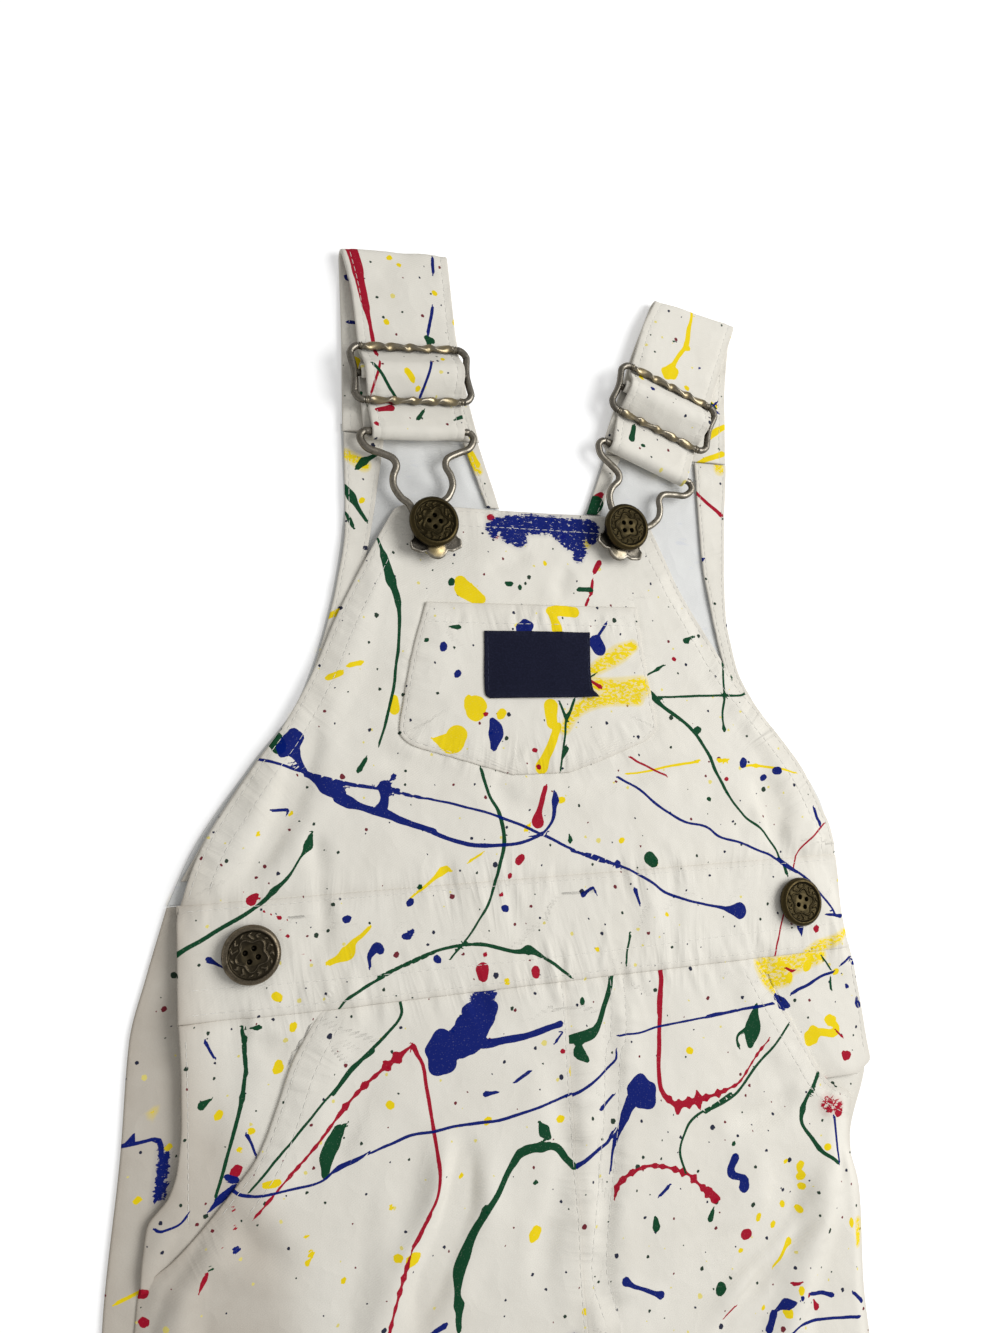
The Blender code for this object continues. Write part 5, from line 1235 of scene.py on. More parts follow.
def marksOn(name):
    # a piece's drips with its strings of beads
    knotted = {dye: [strung(stroke, number) for number, stroke in enumerate(rows)]
               for dye, rows in beads.get(name, {}).items()}
    return merged(drips.get(name, {}), knotted)


def merged(*tables):
    return {dye: [stroke for table in tables for stroke in table.get(dye, [])] for dye in inkColours}


# Rows of stitching, by piece. Each follows a line in plan.
stitchLook = {"pitch": 2.4, "length": 2.15, "radius": 0.09}
bibLeft, bibRight = seams["bibLeft"], seams["bibRight"]
slashLeft, slashRight = seams["slashLeft"], seams["slashRight"]
pocketLeft, pocketRight = edgeLine("bib_pocket", "left", 1.5), edgeLine("bib_pocket", "right", 1.5)
stitchRows = {
    "bib": [between(inset(bibLeft, -1.4), 15, 121), between(inset(bibLeft, -5.8), 15, 118),
            between(inset(bibRight, 1.4), 15, 121), between(inset(bibRight, 5.8), 15, 118),
            curveThrough([(-38, 124.3), (0, 124.4), (42, 124.3)]),
            curveThrough([(-40, 119.6), (0, 119.8), (44, 119.6)])],
    "waistband": [curveThrough([(-104, 12.4), (0, 12.5), (101, 12.2)]),
                  curveThrough([(-103, -13.0), (-70, -13.9), (0, -14.2), (98, -14.0)]),
                  curveThrough([(-103, -7.0), (-66, -8.3), (0, -8.8), (60, -8.2), (99, -8.0)])],
    "front_leg_left": [between(inset(slashLeft, -1.4), -63, -15), between(inset(slashLeft, -6.4), -62, -15),
                       inset(middleLine, -1.5)],
    "front_leg_right": [inset(slashRight, 1.4), inset(slashRight, 6.4), flyLine, inset(flyLine, -4.6)],
    "bib_pocket": [curveThrough([(-36.0, 89.6), (0, 89.3), (34.0, 89.5)]),
                   between(inset(pocketLeft, -1.3), 46, 95), between(inset(pocketRight, 1.3), 46, 95)],
    "label": [[(-17.9, 68.4), (-17.1, 86.2)], [(15.0, 68.4), (16.0, 86.2)]],
    "armhole_facing_left": [inset(edgeLine("armhole_facing_left", "right"), 1.2),
                            inset(edgeLine("armhole_facing_left", "left"), -1.2)],
    "armhole_facing_right": [inset(edgeLine("armhole_facing_right", "left"), -1.2),
                             inset(edgeLine("armhole_facing_right", "right"), 1.2)],
    "neck_facing_left": [inset(edgeLine("neck_facing_left", "left"), -1.1)],
    "neck_facing_right": [inset(edgeLine("neck_facing_right", "right"), 1.1)],
    "hip_left": [[(-103.5, -62), (-103.5, -30), (-104, -17)]],
    "hip_right": [[(104.2, -48), (103.6, -30), (101.6, -17)]],
}


def stitches(name, paths, ups, material):
    # spindles of thread end to end: 0 wide at both tips, which dip into the cloth, and round between
    shares = np.array([0.0, 0.12, 0.36, 0.64, 0.88, 1.0])
    girth = np.array([0.0, 0.75, 1.0, 1.0, 0.75, 0.0]) * stitchLook["radius"]
    lift = np.array([-0.12, 0.0, 0.04, 0.04, 0.0, -0.12])
    sides = 5
    turn = np.arange(sides) * 2.0 * np.pi / sides
    rings = []
    for path, up in zip(paths, ups):
        run = lengths(path)
        starts = np.arange(0.4, run[-1] - stitchLook["length"], stitchLook["pitch"])
        if len(starts) == 0:
            continue
        at = starts[:, None] + shares * stitchLook["length"]
        spot, rise = onPath(path, run, at), onPath(up, run, at)
        rise /= np.linalg.norm(rise, axis=2, keepdims=True)
        ahead = spot[:, -1:] - spot[:, :1]
        across = np.cross(np.broadcast_to(ahead, rise.shape), rise)
        across /= np.linalg.norm(across, axis=2, keepdims=True)
        spot = spot + rise * lift[:, None]
        ring = (spot[:, :, None] + across[:, :, None] * (girth[:, None] * np.cos(turn))[:, :, None]
                + rise[:, :, None] * (girth[:, None] * np.sin(turn))[:, :, None])
        rings.append(ring)
    ring = np.concatenate(rings)
    count = len(ring)
    points = np.concatenate([ring[:, 0, :1], ring[:, 1:-1].reshape(count, -1, 3), ring[:, -1, :1]], 1)
    k = np.arange(sides)
    n = (k + 1) % sides
    last = 1 + 4 * sides
    faces = [np.stack([np.zeros(sides, int), 1 + n, 1 + k], 1),
             np.stack([np.full(sides, last), last - sides + k, last - sides + n], 1)]
    for j in range(3):
        low, high = 1 + j * sides, 1 + (j + 1) * sides
        faces.append(np.stack([low + k, low + n, high + n], 1))
        faces.append(np.stack([low + k, high + n, high + k], 1))
    faces = np.concatenate(faces)
    per = points.shape[1]
    faces = (faces[None] + (np.arange(count) * per)[:, None, None]).reshape(-1, 3)
    return solid(name, points.reshape(-1, 3), faces, material)


def solid(name, points, faces, material, marks=None):
    return newMesh(name, points, outward(points, faces), [material], marks=marks)


def rowsOnTop(name, top):
    # a piece's rows of stitches, laid on its upper face
    paths, ups = [], []
    for line in stitchRows.get(name, []):
        plan = curveThrough(np.asarray(line, float)[:, :2], 0.8) if len(line) < 5 else np.asarray(line, float)
        run = lengths(plan)
        x, y = onPath(plan, run, np.arange(0.0, run[-1], 0.6)).T
        paths.append(np.stack([x, y, top(x, y)], 1))
        slope = (top(x + 0.4, y) - top(x - 0.4, y)) / 0.8, (top(x, y + 0.4) - top(x, y - 0.4)) / 0.8
        up = np.stack([-slope[0], -slope[1], np.ones_like(x)], 1)
        ups.append(up / np.linalg.norm(up, axis=1, keepdims=True))
    return paths, ups


def seamAt(x, y, lines):
    # signed offset from the nearest row of stitches, its distance, and a number that isn't used
    side, far = np.full(x.shape, outOfReach), np.full(x.shape, outOfReach)
    for line in lines:
        spots, signed, off, _, _ = around(x, y, line, 3.0)
        closer = off < far[spots]
        side[spots[closer]], far[spots[closer]] = signed[closer], off[closer]
    return np.stack([side, far, np.zeros(x.shape)], 1)


fluteRows = {
    "bib_pocket": pocketWrinkles,
    "armhole_facing_left": [("facingLeft", 2.6, 7.0, 7.0, 0.34)],
    "armhole_facing_right": [("facingRight", 2.6, 7.0, 7.0, 0.34)],
}
seams["facingLeft"] = edgeLine("armhole_facing_left", "left")
seams["facingRight"] = edgeLine("armhole_facing_right", "right")
for unfluted in ("", "label", "back_leg_left", "back_leg_right", "back_yoke_left", "back_yoke_right",
                 "neck_facing_left", "neck_facing_right"):
    fluteRows[unfluted] = []


def fluteAt(x, y, rows):
    # the seam that pulls hardest: how far along it and off it a point lies, and its pull less the next one's
    along, off, pull, second = (np.zeros(x.shape) for _ in range(4))
    for number, (name, _, right, left, tall) in enumerate(rows):
        spots, side, far, run, _ = around(x, y, seams[name], 24.0)
        patchy = 0.8 + 0.6 * ripples(run, 12.0, 1500 + number)
        reach = np.where(side > 0, left, right) * (1.1 + 0.5 * ripples(run, 5.0, 1540 + number))
        strength = tall * np.clip(patchy, 0.1, 1.4) * np.exp(-(far / np.maximum(reach, 0.4)) ** 2)
        better = strength > pull[spots]
        second[spots] = np.where(better, pull[spots], np.maximum(second[spots], strength))
        chosen = spots[better]
        pull[chosen] = strength[better]
        along[chosen] = (run + 0.3 * side * ripples(run, 17.0, 1580 + number))[better] + 70.0 * number
        off[chosen] = side[better]
    return np.stack([along, off, pull - second], 1)


def clothMarks(x, y, name, strokes, smear, wornAndShaded, stained):
    marks = {"ink" + dye.capitalize(): inkAt(x, y, strokes.get(dye, [])) for dye in inkColours}
    marks["smear"] = np.stack([smearAt(x, y, smear.get(dye, [])) for dye in ("blue", "red", "yellow")], 1)
    marks["seam"] = seamAt(x, y, stitchRows.get(name, []))
    marks["wear"] = np.stack([wornAndShaded, stained, np.ones_like(x)], 1)
    marks["flute"] = fluteAt(x, y, fluteRows.get(name, wrinkleSeams))
    return marks


# Darker towards each piece's rim: edge wear, and painted contact shade where an edge lies on the cloth below;
# upper face, lower face, and how far in it reaches.
rimWearAndShade = {"upper": 0.22, "lower": 0.3, "reach": 1.2}
leastWidth = 0.0105  # metres; a strip that is narrower where it shows has turned edges
# Shares of the bake's width and height: a panel's two faces, a strap's faces, and the margin round them.
bakeMap = {"upper": 0.735, "lower": 0.24, "lowerStart": 0.755, "strap": 0.48, "tall": 0.98,
           "margin": (0.005, 0.01)}
# Darker spots, each a centre, size and strength: the first paints shade on the left side, the other two
# darken the cloth a little.
darkSpots = [(-122, -62, 16, 0.55), (-44, -98, 10, 0.15), (88, -60, 8, 0.12)]
# The left side's painted shade: where it starts, how much further in it is low down, and where it fades at
# both ends.
sideShade = {"from": -92.0, "lean": 22.0, "leanFrom": -20.0, "leanOver": 60.0, "width": 17.0, "most": 0.50,
            "top": 45.0, "topOver": 35.0, "bottom": -180.0, "bottomOver": 60.0}


def sideShadeAndSpotsAt(x, y):
    # painted shade: the left side is darker along its outer rim, further in the lower it is, with a few
    # darker spots more
    shadeAndWear = sideShade
    start = shadeAndWear["from"] + shadeAndWear["lean"] * easeTo((shadeAndWear["leanFrom"] - y) / shadeAndWear["leanOver"])
    total = shadeAndWear["most"] * easeTo((start - x) / shadeAndWear["width"])
    total = total * easeTo((shadeAndWear["top"] - y) / shadeAndWear["topOver"])
    total = total * easeTo((y - shadeAndWear["bottom"]) / shadeAndWear["bottomOver"])
    for cx, cy, size, strength in darkSpots:
        total = np.maximum(total, strength * np.exp(-((x - cx) ** 2 + (y - cy) ** 2) / size**2))
    return total


def clothPiece(node, grid, low, top, faces, strokes=None, under=None, *,
               thread="thread"):
    # a panel: the upper and lower heights over its grid, closed round the rim, with its rows of stitches
    x, y, depth = grid
    zLow, zTop = (height(x.ravel(), y.ravel()).reshape(x.shape) for height in (low, top))
    middle, half = (zLow + zTop) / 2, (zTop - zLow) / 2 * rounded(depth)
    points, quads = twoSided(x, y, middle - half, middle + half)
    px, py = points[:, 0], points[:, 1]
    inside, none = bothFaces(depth), np.zeros_like(px)
    # the first wear mark: edge wear with painted contact shade at the rims, and painted shade on the left
    # side
    marks = clothMarks(px, py, node, strokes or {}, smears.get(node, {}),
                       rimWearAndShade["upper"] * np.exp(-inside / rimWearAndShade["reach"]) + sideShadeAndSpotsAt(px, py), none)
    if under is not None:
        isUpper = (np.arange(len(points)) < x.size)[:, None]
        below = clothMarks(px, py, "", under, {}, rimWearAndShade["lower"] * np.exp(-inside), none)
        marks = {key: np.where(isUpper, value, below[key]) for key, value in marks.items()}
    half = len(quads) // 2
    # upper face over three quarters of the map's width, lower face beside it
    share = (points[quads][:, :, :2] - (px.min(), py.min())) / (np.ptp(px), np.ptp(py))
    place = share * (bakeMap["upper"], bakeMap["tall"]) + bakeMap["margin"]
    place[half:, :, 0] = share[half:, :, 0] * bakeMap["lower"] + bakeMap["lowerStart"]
    groups = np.repeat([0, 1], half).astype(np.int32)
    item = newMesh(node + "_cloth", points, quads, [looks[face] for face in faces], groups, place, marks)
    given(item, node)
    if node in stitchRows:
        sewn = stitches(node + "_stitches", *rowsOnTop(node, top), looks[thread])
        given(sewn)
    # the cut: the piece's own width and length, and the area between its two edges
    area = np.abs(np.diff(x, axis=1)[:-1] * np.diff(y, axis=0)[:, :-1]
                  - np.diff(y, axis=1)[:-1] * np.diff(x, axis=0)[:, :-1]).sum() * mm * mm
    flat = (np.ptp(x) * mm, np.ptp(y) * mm)
    if area < 0.5 * flat[0] * flat[1]:  # a slanting strip: its length along the middle, and its mean width
        length = lengths(np.stack([x.mean(1), y.mean(1)], 1))[-1] * mm
        flat = (max(area / length, leastWidth), length)
    print(node, "made:", 2 * len(quads), "triangles")


def lapLow(x, y):
    # the waistband stands a hair prouder along its two seams
    low = column(waistband, 1, x)
    return 0.04 + 0.10 * (1.0 - easeTo((y - low) / 4.0)) + 0.05 * easeTo((y - 9.5) / 4.0)


def inFrom(rows, side, x, y):
    # how far inside one of a table's two edges
    return x - column(rows, 1, y) if side == "left" else column(rows, 2, y) - x


def settled(name, x, y, side, below):
    # 1 along a leg's sewn side, which sinks to the back it is joined to
    return (1.0 - easeTo(inFrom(outlines[name], side, x, y) / 5.0)) * easeTo((below - y) / 7.0)


# Where a leg's outer and inner sides start to lie on the back, going down, and how high they are there.
legSides = {"left": -69.0, "right": -61.0, "inner": -172.0, "level": 0.85}


def legLow(name, x, y):
    outer, inner = ("left", "right") if name.endswith("left") else ("right", "left")
    base = front(x, y)
    outerSink = settled(name, x, y, outer, legSides[outer])
    sink = np.maximum(outerSink, settled(name, x, y, inner, legSides["inner"]))
    base = base * (1.0 - sink) + legSides["level"] * sink
    return base - 0.22 * easeTo((y + 18.0) / 2.5)


def bibTop(x, y):
    return front(x, y) + levels["wall"] - 0.18 * (1.0 - easeTo((y - 13.2) / 2.2))


def hipLow(side, x, y):
    # flat on the back, and rising to the waistband above; under the leg's edge it stays low
    inside = inFrom(outlines["front_leg_" + side], side, x, y)
    rise = easeTo((y + 28.0) / 10.0) * (1.0 - easeTo(inside / 3.0))
    low = levels["layer"] + 0.5 * relief(x, y) + folded(x, y)
    return low + (front(x, y) - 0.10 - low) * rise


facings = ("armhole_facing_left", "armhole_facing_right", "neck_facing_left", "neck_facing_right")


def yokeTop(x, y):
    # low swells where the inside of the back shows above the bib
    lift = 0.55 + 0.45 * swells(x, y, 14.0, 61) + creased(x, y, backCreases, 700)
    for name in facings:
        lift = lift * (1.0 - beside(name, x, y, 0.4, 5.0))
    return 1.0 + np.maximum(lift, 0.0) * easeTo((y - 127.0) / 6.0) * easeTo((146.6 - y) / 3.0)


def facingTop(x, y):
    return hilly(x, y, 2.1, ((0.16, 4.0, 71), (0.10, 9.0, 72)))


def pocketLow(x, y):
    # over the bib, a little fuller in its middle, with upright flutes in its hem
    _, far, _, _ = toPath(x, y, seams["pocketRim"])
    full = easeTo(np.minimum(far, 95.5 - y) / 9.0)
    ridges = wrinkled(x, y, onPocket)
    return front(x, y) + levels["wall"] + 0.05 + 0.35 * full + np.maximum(ridges, -0.1)


def pocketTop(x, y):
    hem = 0.30 * easeTo((y - 93.6) / 1.2)  # the open top stands a little proud of the cloth behind it
    return pocketLow(x, y) + 0.50 + hem


def labelLow(x, y):
    corner = np.exp(-((x - 17.0) ** 2 + (y - 66.0) ** 2) / 22.0)
    bow = 0.5 * np.sin(np.clip((x + 19.0) / 36.0, 0, 1) * np.pi) * np.exp(-((y - 67.5) / 4.0) ** 2)
    return pocketTop(x, y) + 0.10 + 1.3 * corner + bow


gridSteps = {"backLeg": 2.2, "backYoke": 1.3, "facing": 0.9, "hip": 0.9, "front": 0.85, "pocket": 0.8,
             "label": 0.6}
lowerLeg = (-132.0, 2.2)  # below the main view's lower edge a leg's grid is this coarse
legLap = {"above": -200.0, "reach": 1.1}  # the right leg's inner edge laps the left one down to the crotch
tapeWall = 0.5


def walled(low):
    # a panel's upper height, one wall over its lower one
    return lambda x, y: low(x, y) + levels["wall"]


def buildCloth():
    behind = spatter(503, (-128.0, -312.0, 128.0, 155.0), 190)
    lower = {"left": spatter(501, (-128.0, -312.0, 0.0, -124.0), 62),
             "right": spatter(502, (0.0, -312.0, 128.0, -134.0), 58)}
    flat = lambda x, y: np.zeros_like(x)
    back = lambda x, y: np.full_like(x, levels["back"])
    shown = ("print", "wrong")
    for side in ("left", "right"):
        name = "back_leg_" + side
        clothPiece(name, planGrid(outlines[name], gridSteps["backLeg"]), flat, back, ("print", "print"),
                   drips.get(name), behind)
        name = "back_yoke_" + side
        clothPiece(name, planGrid(outlines[name], gridSteps["backYoke"]), flat, yokeTop, ("wrong", "print"),
                   drips.get(name), behind)
    for name in facings:
        clothPiece(name, planGrid(outlines[name], gridSteps["facing"]),
                   lambda x, y: facingTop(x, y) - levels["wall"], facingTop, shown, drips.get(name))
    for side in ("left", "right"):
        name = "hip_" + side
        low = lambda x, y: hipLow(side, x, y)
        clothPiece(name, planGrid(outlines[name], gridSteps["hip"]), low, walled(low), shown, marksOn(name))
    outlines["front_leg_right"] = [(y, a - (legLap["reach"] if y > legLap["above"] else 0.0), b)
                                   for y, a, b in outlines["front_leg_right"]]
    for side in ("left", "right"):
        name = "front_leg_" + side
        low = lambda x, y: legLow(name, x, y)
        clothPiece(name, planGrid(outlines[name], gridSteps["front"], coarse=lowerLeg), low, walled(low),
                   shown, merged(marksOn(name), lower[side]))
    low = lambda x, y: front(x, y) + lapLow(x, y)
    clothPiece("waistband", planGrid(waistband, gridSteps["front"], across=True), low, walled(low), shown,
               drips["bib"])
    clothPiece("bib", planGrid(outlines["bib"], gridSteps["front"]),
               lambda x, y: bibTop(x, y) - levels["wall"], bibTop, shown, drips["bib"])
    clothPiece("bib_pocket", planGrid(outlines["bib_pocket"], gridSteps["pocket"]), pocketLow, pocketTop,
               shown, drips["bib_pocket"])
    clothPiece("label", planGrid(outlines["label"], gridSteps["label"]), labelLow,
               lambda x, y: labelLow(x, y) + tapeWall, ("navy", "navy"),
               thread="navyThread")


buildCloth()


# The buckles. v runs up a strap from the hook's bar and u runs across it.
buckles = {
    "left": {"bar": (-36.0, 147.6), "lean": -4.3, "lower": 9.0, "fold": 59.0, "shank": (0.6, -29.1)},
    "right": {"bar": (42.3, 144.4), "lean": 21.5, "lower": 11.5, "fold": 61.5, "shank": (-2.1, -26.6)},
}
strapEdges = {  # v, left edge, right edge and skew
    "left": {"back": [(-0.3, -22.0, 21.0, -0.075), (14.0, -20.6, 19.2, -0.04), (30.0, -19.0, 18.2, 0.0),
                      (59.0, -16.6, 17.6, 0.01)],
             "front": [(-4.0, -14.4, 14.2, 0.0), (9.0, -14.3, 15.2, 0.0), (17.5, -15.2, 15.9, 0.0),
                       (43.0, -14.9, 17.0, 0.0), (59.0, -16.6, 17.6, 0.01)]},
    "right": {"back": [(3.1, -13.4, 29.3, 0.394), (20.0, -14.6, 25.6, 0.34), (34.0, -14.6, 22.4, 0.3),
                       (61.5, -12.8, 18.3, 0.2)],
              "front": [(-4.0, -14.1, 14.2, 0.0), (11.5, -14.6, 15.4, 0.0), (20.0, -14.8, 15.9, 0.0),
                        (46.0, -14.8, 17.4, 0.1), (61.5, -12.8, 18.3, 0.2)]},
}
strapLook = {"wall": 1.2, "gap": 0.3, "wire": 1.1, "barStep": 8.5, "topFold": 1.6, "returnLeft": -16.0,
             "returnRight": 14.0, "endTurn": 250.0, "sheetHalf": 0.54, "lap": 1.62, "step": 0.9,
             "turnStep": 12.0, "layer": 1.5}
sliderLook = {"half": 18.3, "waist": 17.6, "corner": 3.0, "broad": 1.35, "thin": 0.82, "side": 1.08,
              "facet": 5.6, "sides": 22, "bar": 1.05, "barRows": 60, "barSides": 16}
# Heights of the strap's runs and of the wire: the end that returns, the front run, and what they go round.
returnZ = 1.3 + strapLook["layer"] + strapLook["wall"] / 2
frontZ = returnZ + strapLook["layer"]
threadZ = strapLook["wire"] + strapLook["gap"] + strapLook["wall"] / 2
overLoop = threadZ + strapLook["layer"]
sliderZ = frontZ + threadZ
hookZ = returnZ + threadZ
hookLow = 4.7


def beltLine(stops, finalHeading):
    # a belt's line round circles (v, z, radius above 0 to its left), straight and touching both between two
    headings = []
    for (v0, z0, r0), (v1, z1, r1) in zip(stops, stops[1:]):
        far = math.hypot(v1 - v0, z1 - z0)
        headings.append(math.atan2(z1 - z0, v1 - v0) - math.asin((r1 - r0) / far))
    headings.append(finalHeading)
    points = [stops[0][:2]]
    heading = headings[0]
    for (v, z, r), leaving in zip(stops[1:], headings[1:]):
        turn = (leaving - heading) % (2.0 * math.pi)
        if r < 0.0:
            turn = -((heading - leaving) % (2.0 * math.pi))
        count = max(1, math.ceil(abs(turn) / math.radians(strapLook["turnStep"])))
        points += [(v + r * math.sin(at), z - r * math.cos(at))
                   for at in (heading + turn * k / count for k in range(count + 1))]
        heading = leaving
    return np.array(points)


def leaned(place, buckle, u, v):
    # from across and along a strap to x and y, measured from a place
    lean = math.radians(buckle["lean"])
    return (place[0] + math.cos(lean) * u + math.sin(lean) * v,
            place[1] - math.sin(lean) * u + math.cos(lean) * v)


def onStrap(buckle, u, v):
    return leaned(buckle["bar"], buckle, u, v)


def strapSections(side):
    # along the strap: its middle (v, z), unit normal, edges, skew, length run, and which run it is on
    # (0 the back run, 1 the front run, 2 the end that returns)
    buckle, look = buckles[side], strapLook
    lower, fold = buckle["lower"], look["topFold"]
    middle, upper = lower + look["barStep"], lower + 2 * look["barStep"]
    start = strapEdges[side]["back"][0][0]
    stops = [(start, look["lap"], 0.0), (buckle["fold"] - fold, look["wall"] / 2 + fold, fold),
             (upper, sliderZ, -threadZ), (middle, sliderZ, overLoop), (lower, sliderZ, -threadZ),
             (0.0, hookZ, threadZ), (middle, sliderZ, threadZ)]
    rough = beltLine(stops, math.radians(look["endTurn"]))
    steps = np.hypot(*np.diff(rough, axis=0).T)
    pieces = [a + (b - a) * np.linspace(0, 1, max(1, math.ceil(s / 0.95)), endpoint=False)[:, None]
              for a, b, s in zip(rough[:-1], rough[1:], steps) if s > 1e-6]
    line = np.concatenate(pieces + [rough[-1:]])
    run = lengths(line)
    rim = np.array([*rimSteps, rimIn])
    fine = np.concatenate([rim, run[(run > 0.9) & (run < run[-1] - 0.9)], run[-1] - rim[::-1]])
    line, run = onPath(line, run, fine), fine
    top = int(line[:, 0].argmax())
    low = top + int(line[top:, 0].argmin())
    kind = np.where(np.arange(len(line)) <= top, 0, np.where(np.arange(len(line)) <= low, 1, 2))
    cols = [np.where(kind == 0, column(strapEdges[side]["back"], k, line[:, 0]),
                     column(strapEdges[side]["front"], k, line[:, 0])) for k in (1, 2, 3)]
    turned = easeTo((run - run[low]) / 3.2)
    left = cols[0] + (look["returnLeft"] - cols[0]) * turned
    right = cols[1] + (look["returnRight"] - cols[1]) * turned
    return {"line": line, "normal": leftNormal(line), "left": left, "right": right, "skew": cols[2],
            "run": run, "kind": kind}


def strapPuff(side, run, u, left, right):
    # soft fullness of the doubled cloth, with short puckers along both sewn edges
    seed = 900 if side == "left" else 930
    edge = np.minimum(u - left, right - u)
    rows = np.exp(-((edge - 2.6) / 0.9) ** 2)
    ridge = ripples(run, 2.2, seed) * 0.5 + ripples(run + 40.0, 4.6, seed + 1) * 0.5
    other = np.where(u < (left + right) / 2, ridge, ripples(run + 90.0, 2.4, seed + 2))
    body = easeTo(edge / 4.0) * (1.0 + 1.1 * swells(run, u + 60.0, 6.5, seed + 5))
    return 0.20 * body + 0.22 * other * np.exp(-(edge / 4.5) ** 2) * easeTo(edge / 0.8) - 0.10 * rows


def strapPoint(side, sections, u, depth, sign, extra):
    # a point of the strap's face: along its normal by half the sheet, rounded off at the rims
    buckle = buckles[side]
    line, normal = sections["line"], sections["normal"]
    full = sections["skew"][:, None] * u
    outer = sign * (strapLook["sheetHalf"] + extra) * rounded(depth)
    v = line[:, :1] + full + outer * normal[:, :1]
    z = line[:, 1:] + outer * normal[:, 1:]
    x, y = onStrap(buckle, u, v)
    return x, y, np.broadcast_to(z, x.shape)


def buildStrap(side):
    sections = strapSections(side)
    left, right, run = sections["left"][:, None], sections["right"][:, None], sections["run"][:, None]
    u = spread(left, right, math.ceil((right - left).max() / strapLook["step"]))
    depth = np.minimum(np.minimum(u - left, right - u), np.minimum(run, run[-1] - run))
    puff = strapPuff(side, run + 0 * u, u, left, right)
    outside = np.where(sections["kind"] == 1, -1.0, 1.0)[:, None]
    grids = [strapPoint(side, sections, u, depth, sign, puff * (outside * sign > 0)) for sign in (1.0, -1.0)]
    points, quads = twoSided(grids[0][0], grids[0][1], grids[1][2], grids[0][2], flip=False)
    points[u.size:] = np.stack(grids[1], 2)[1:-1, 1:-1].reshape(-1, 3)
    quads = outward(points, quads)
    # the front run's drips don't show elsewhere: the other runs look up their own, further off
    px = points[:, 0]
    py = points[:, 1] + bothFaces(np.where(sections["kind"] == 1, 0.0, elsewhere)[:, None] + 0 * u)
    own = {dye: [[(x, y + elsewhere, w) for x, y, w in stroke] for stroke in rows]
           for dye, rows in strapSpots[side].items()}
    edge, us = bothFaces(depth), bothFaces(u)
    # the first wear mark: edge wear with painted contact shade along the strap's rims
    marks = clothMarks(px, py, "", merged(drips["strap_" + side], own), {},
                       rimWearAndShade["upper"] * np.exp(-edge / 1.0), np.zeros_like(px))
    tanX, tanY, tanR = strapStains[side]
    marks["wear"][:, 1] = 0.6 * np.exp(-((px - tanX) ** 2 + (py - elsewhere - tanY) ** 2) / tanR**2)
    runs, lefts, rights = (bothFaces(value + 0 * u) for value in (run, left, right))
    off = np.minimum(us - lefts, rights - us) - strapRow
    marks["seam"] = np.stack([off, np.abs(off), np.zeros_like(off)], 1)
    rim = off + strapRow
    marks["flute"] = np.stack([runs, rim, 0.34 * np.exp(-(rim / 5.0) ** 2)], 1)
    half = len(quads) // 2
    across, up = bakeMap["margin"]
    place = np.stack([(us - us.min()) / np.ptp(us) * bakeMap["strap"] + across,
                      runs / runs.max() * bakeMap["tall"] + up], 1)[quads]
    place[half:, :, 0] += 0.5
    name = "strap_" + side
    item = newMesh(name + "_cloth", points, quads, [looks["print"]], None, place, marks)
    given(item, name)
    # both rows of stitches on the outside of the front run and of the back run
    paths, ups = [], []
    lean = math.radians(buckles[side]["lean"])
    for kind in (0, 1, 2):
        rows = np.flatnonzero(sections["kind"] == kind)
        rows = rows[4:-4] if kind != 2 else rows[2:-6]
        part = {key: value[rows] for key, value in sections.items()}
        sign = -1.0 if kind == 1 else 1.0
        for rowU in (part["left"] + strapRow, part["right"] - strapRow):
            lift = strapPuff(side, part["run"], rowU, part["left"], part["right"])
            deep = np.full((len(rows), 1), outOfReach)
            x, y, z = strapPoint(side, part, rowU[:, None], deep, sign, lift[:, None])
            paths.append(np.stack([x[:, 0], y[:, 0], z[:, 0]], 1))
            v, w = sign * part["normal"][:, 0], sign * part["normal"][:, 1]
            ups.append(np.stack([v * math.sin(lean), v * math.cos(lean), w], 1))
    sewn = given(stitches(name + "_stitches", paths, ups, looks["thread"]))


strapRow = 2.5  # from each edge to its row of stitches
elsewhere = 500.0  # how far off the back run and the returned end look up their drips
strapStains = {"left": (-47.0, 163.0, 2.6), "right": (30.0, 166.0, 0.8)}
strapSpots = {
    "left": {
        "yellow": [[(-53.4, 170, 1.5)], [(-52.5, 167.6, 1.1)]],
        "blue": [[(-54.6, 197.2, 1.1)], [(-54.6, 182.5, 0.7), (-52.4, 182.4, 0.6)]],
        "green": [[(-53, 158, 0.9)], [(-50, 155, 1.1)]],
    },
    "right": {
        "blue": [[(72, 168, 0.5), (74, 170, 0.4)], [(71, 169, 0.3), (74, 166, 0.4)]],
        "green": [[(71, 170, 0.4), (73, 168, 0.5)]],
        "yellow": [[(67, 174, 1.0), (70, 171, 0.9), (73, 168, 1.1)],
            [(68, 155, 1.0), (72, 159, 1.3), (76, 161, 1.0)],
            [(60, 145, 0.6), (67, 148, 0.9), (74, 151, 1.0)]],
    },
}


def tris(quads):
    return np.concatenate([quads[:, [0, 1, 2]], quads[:, [0, 2, 3]]])


def wrap(rows, columns, closeRows=True):
    # the quads of a grid whose columns, and rows if asked, join up with themselves
    r = np.arange(rows if closeRows else rows - 1)[:, None]
    c = np.arange(columns)[None, :]
    r2, c2 = (r + 1) % rows, (c + 1) % columns
    corners = [r * columns + c, r * columns + c2, r2 * columns + c2, r2 * columns + c]
    return np.stack(corners, 2).reshape(-1, 4)


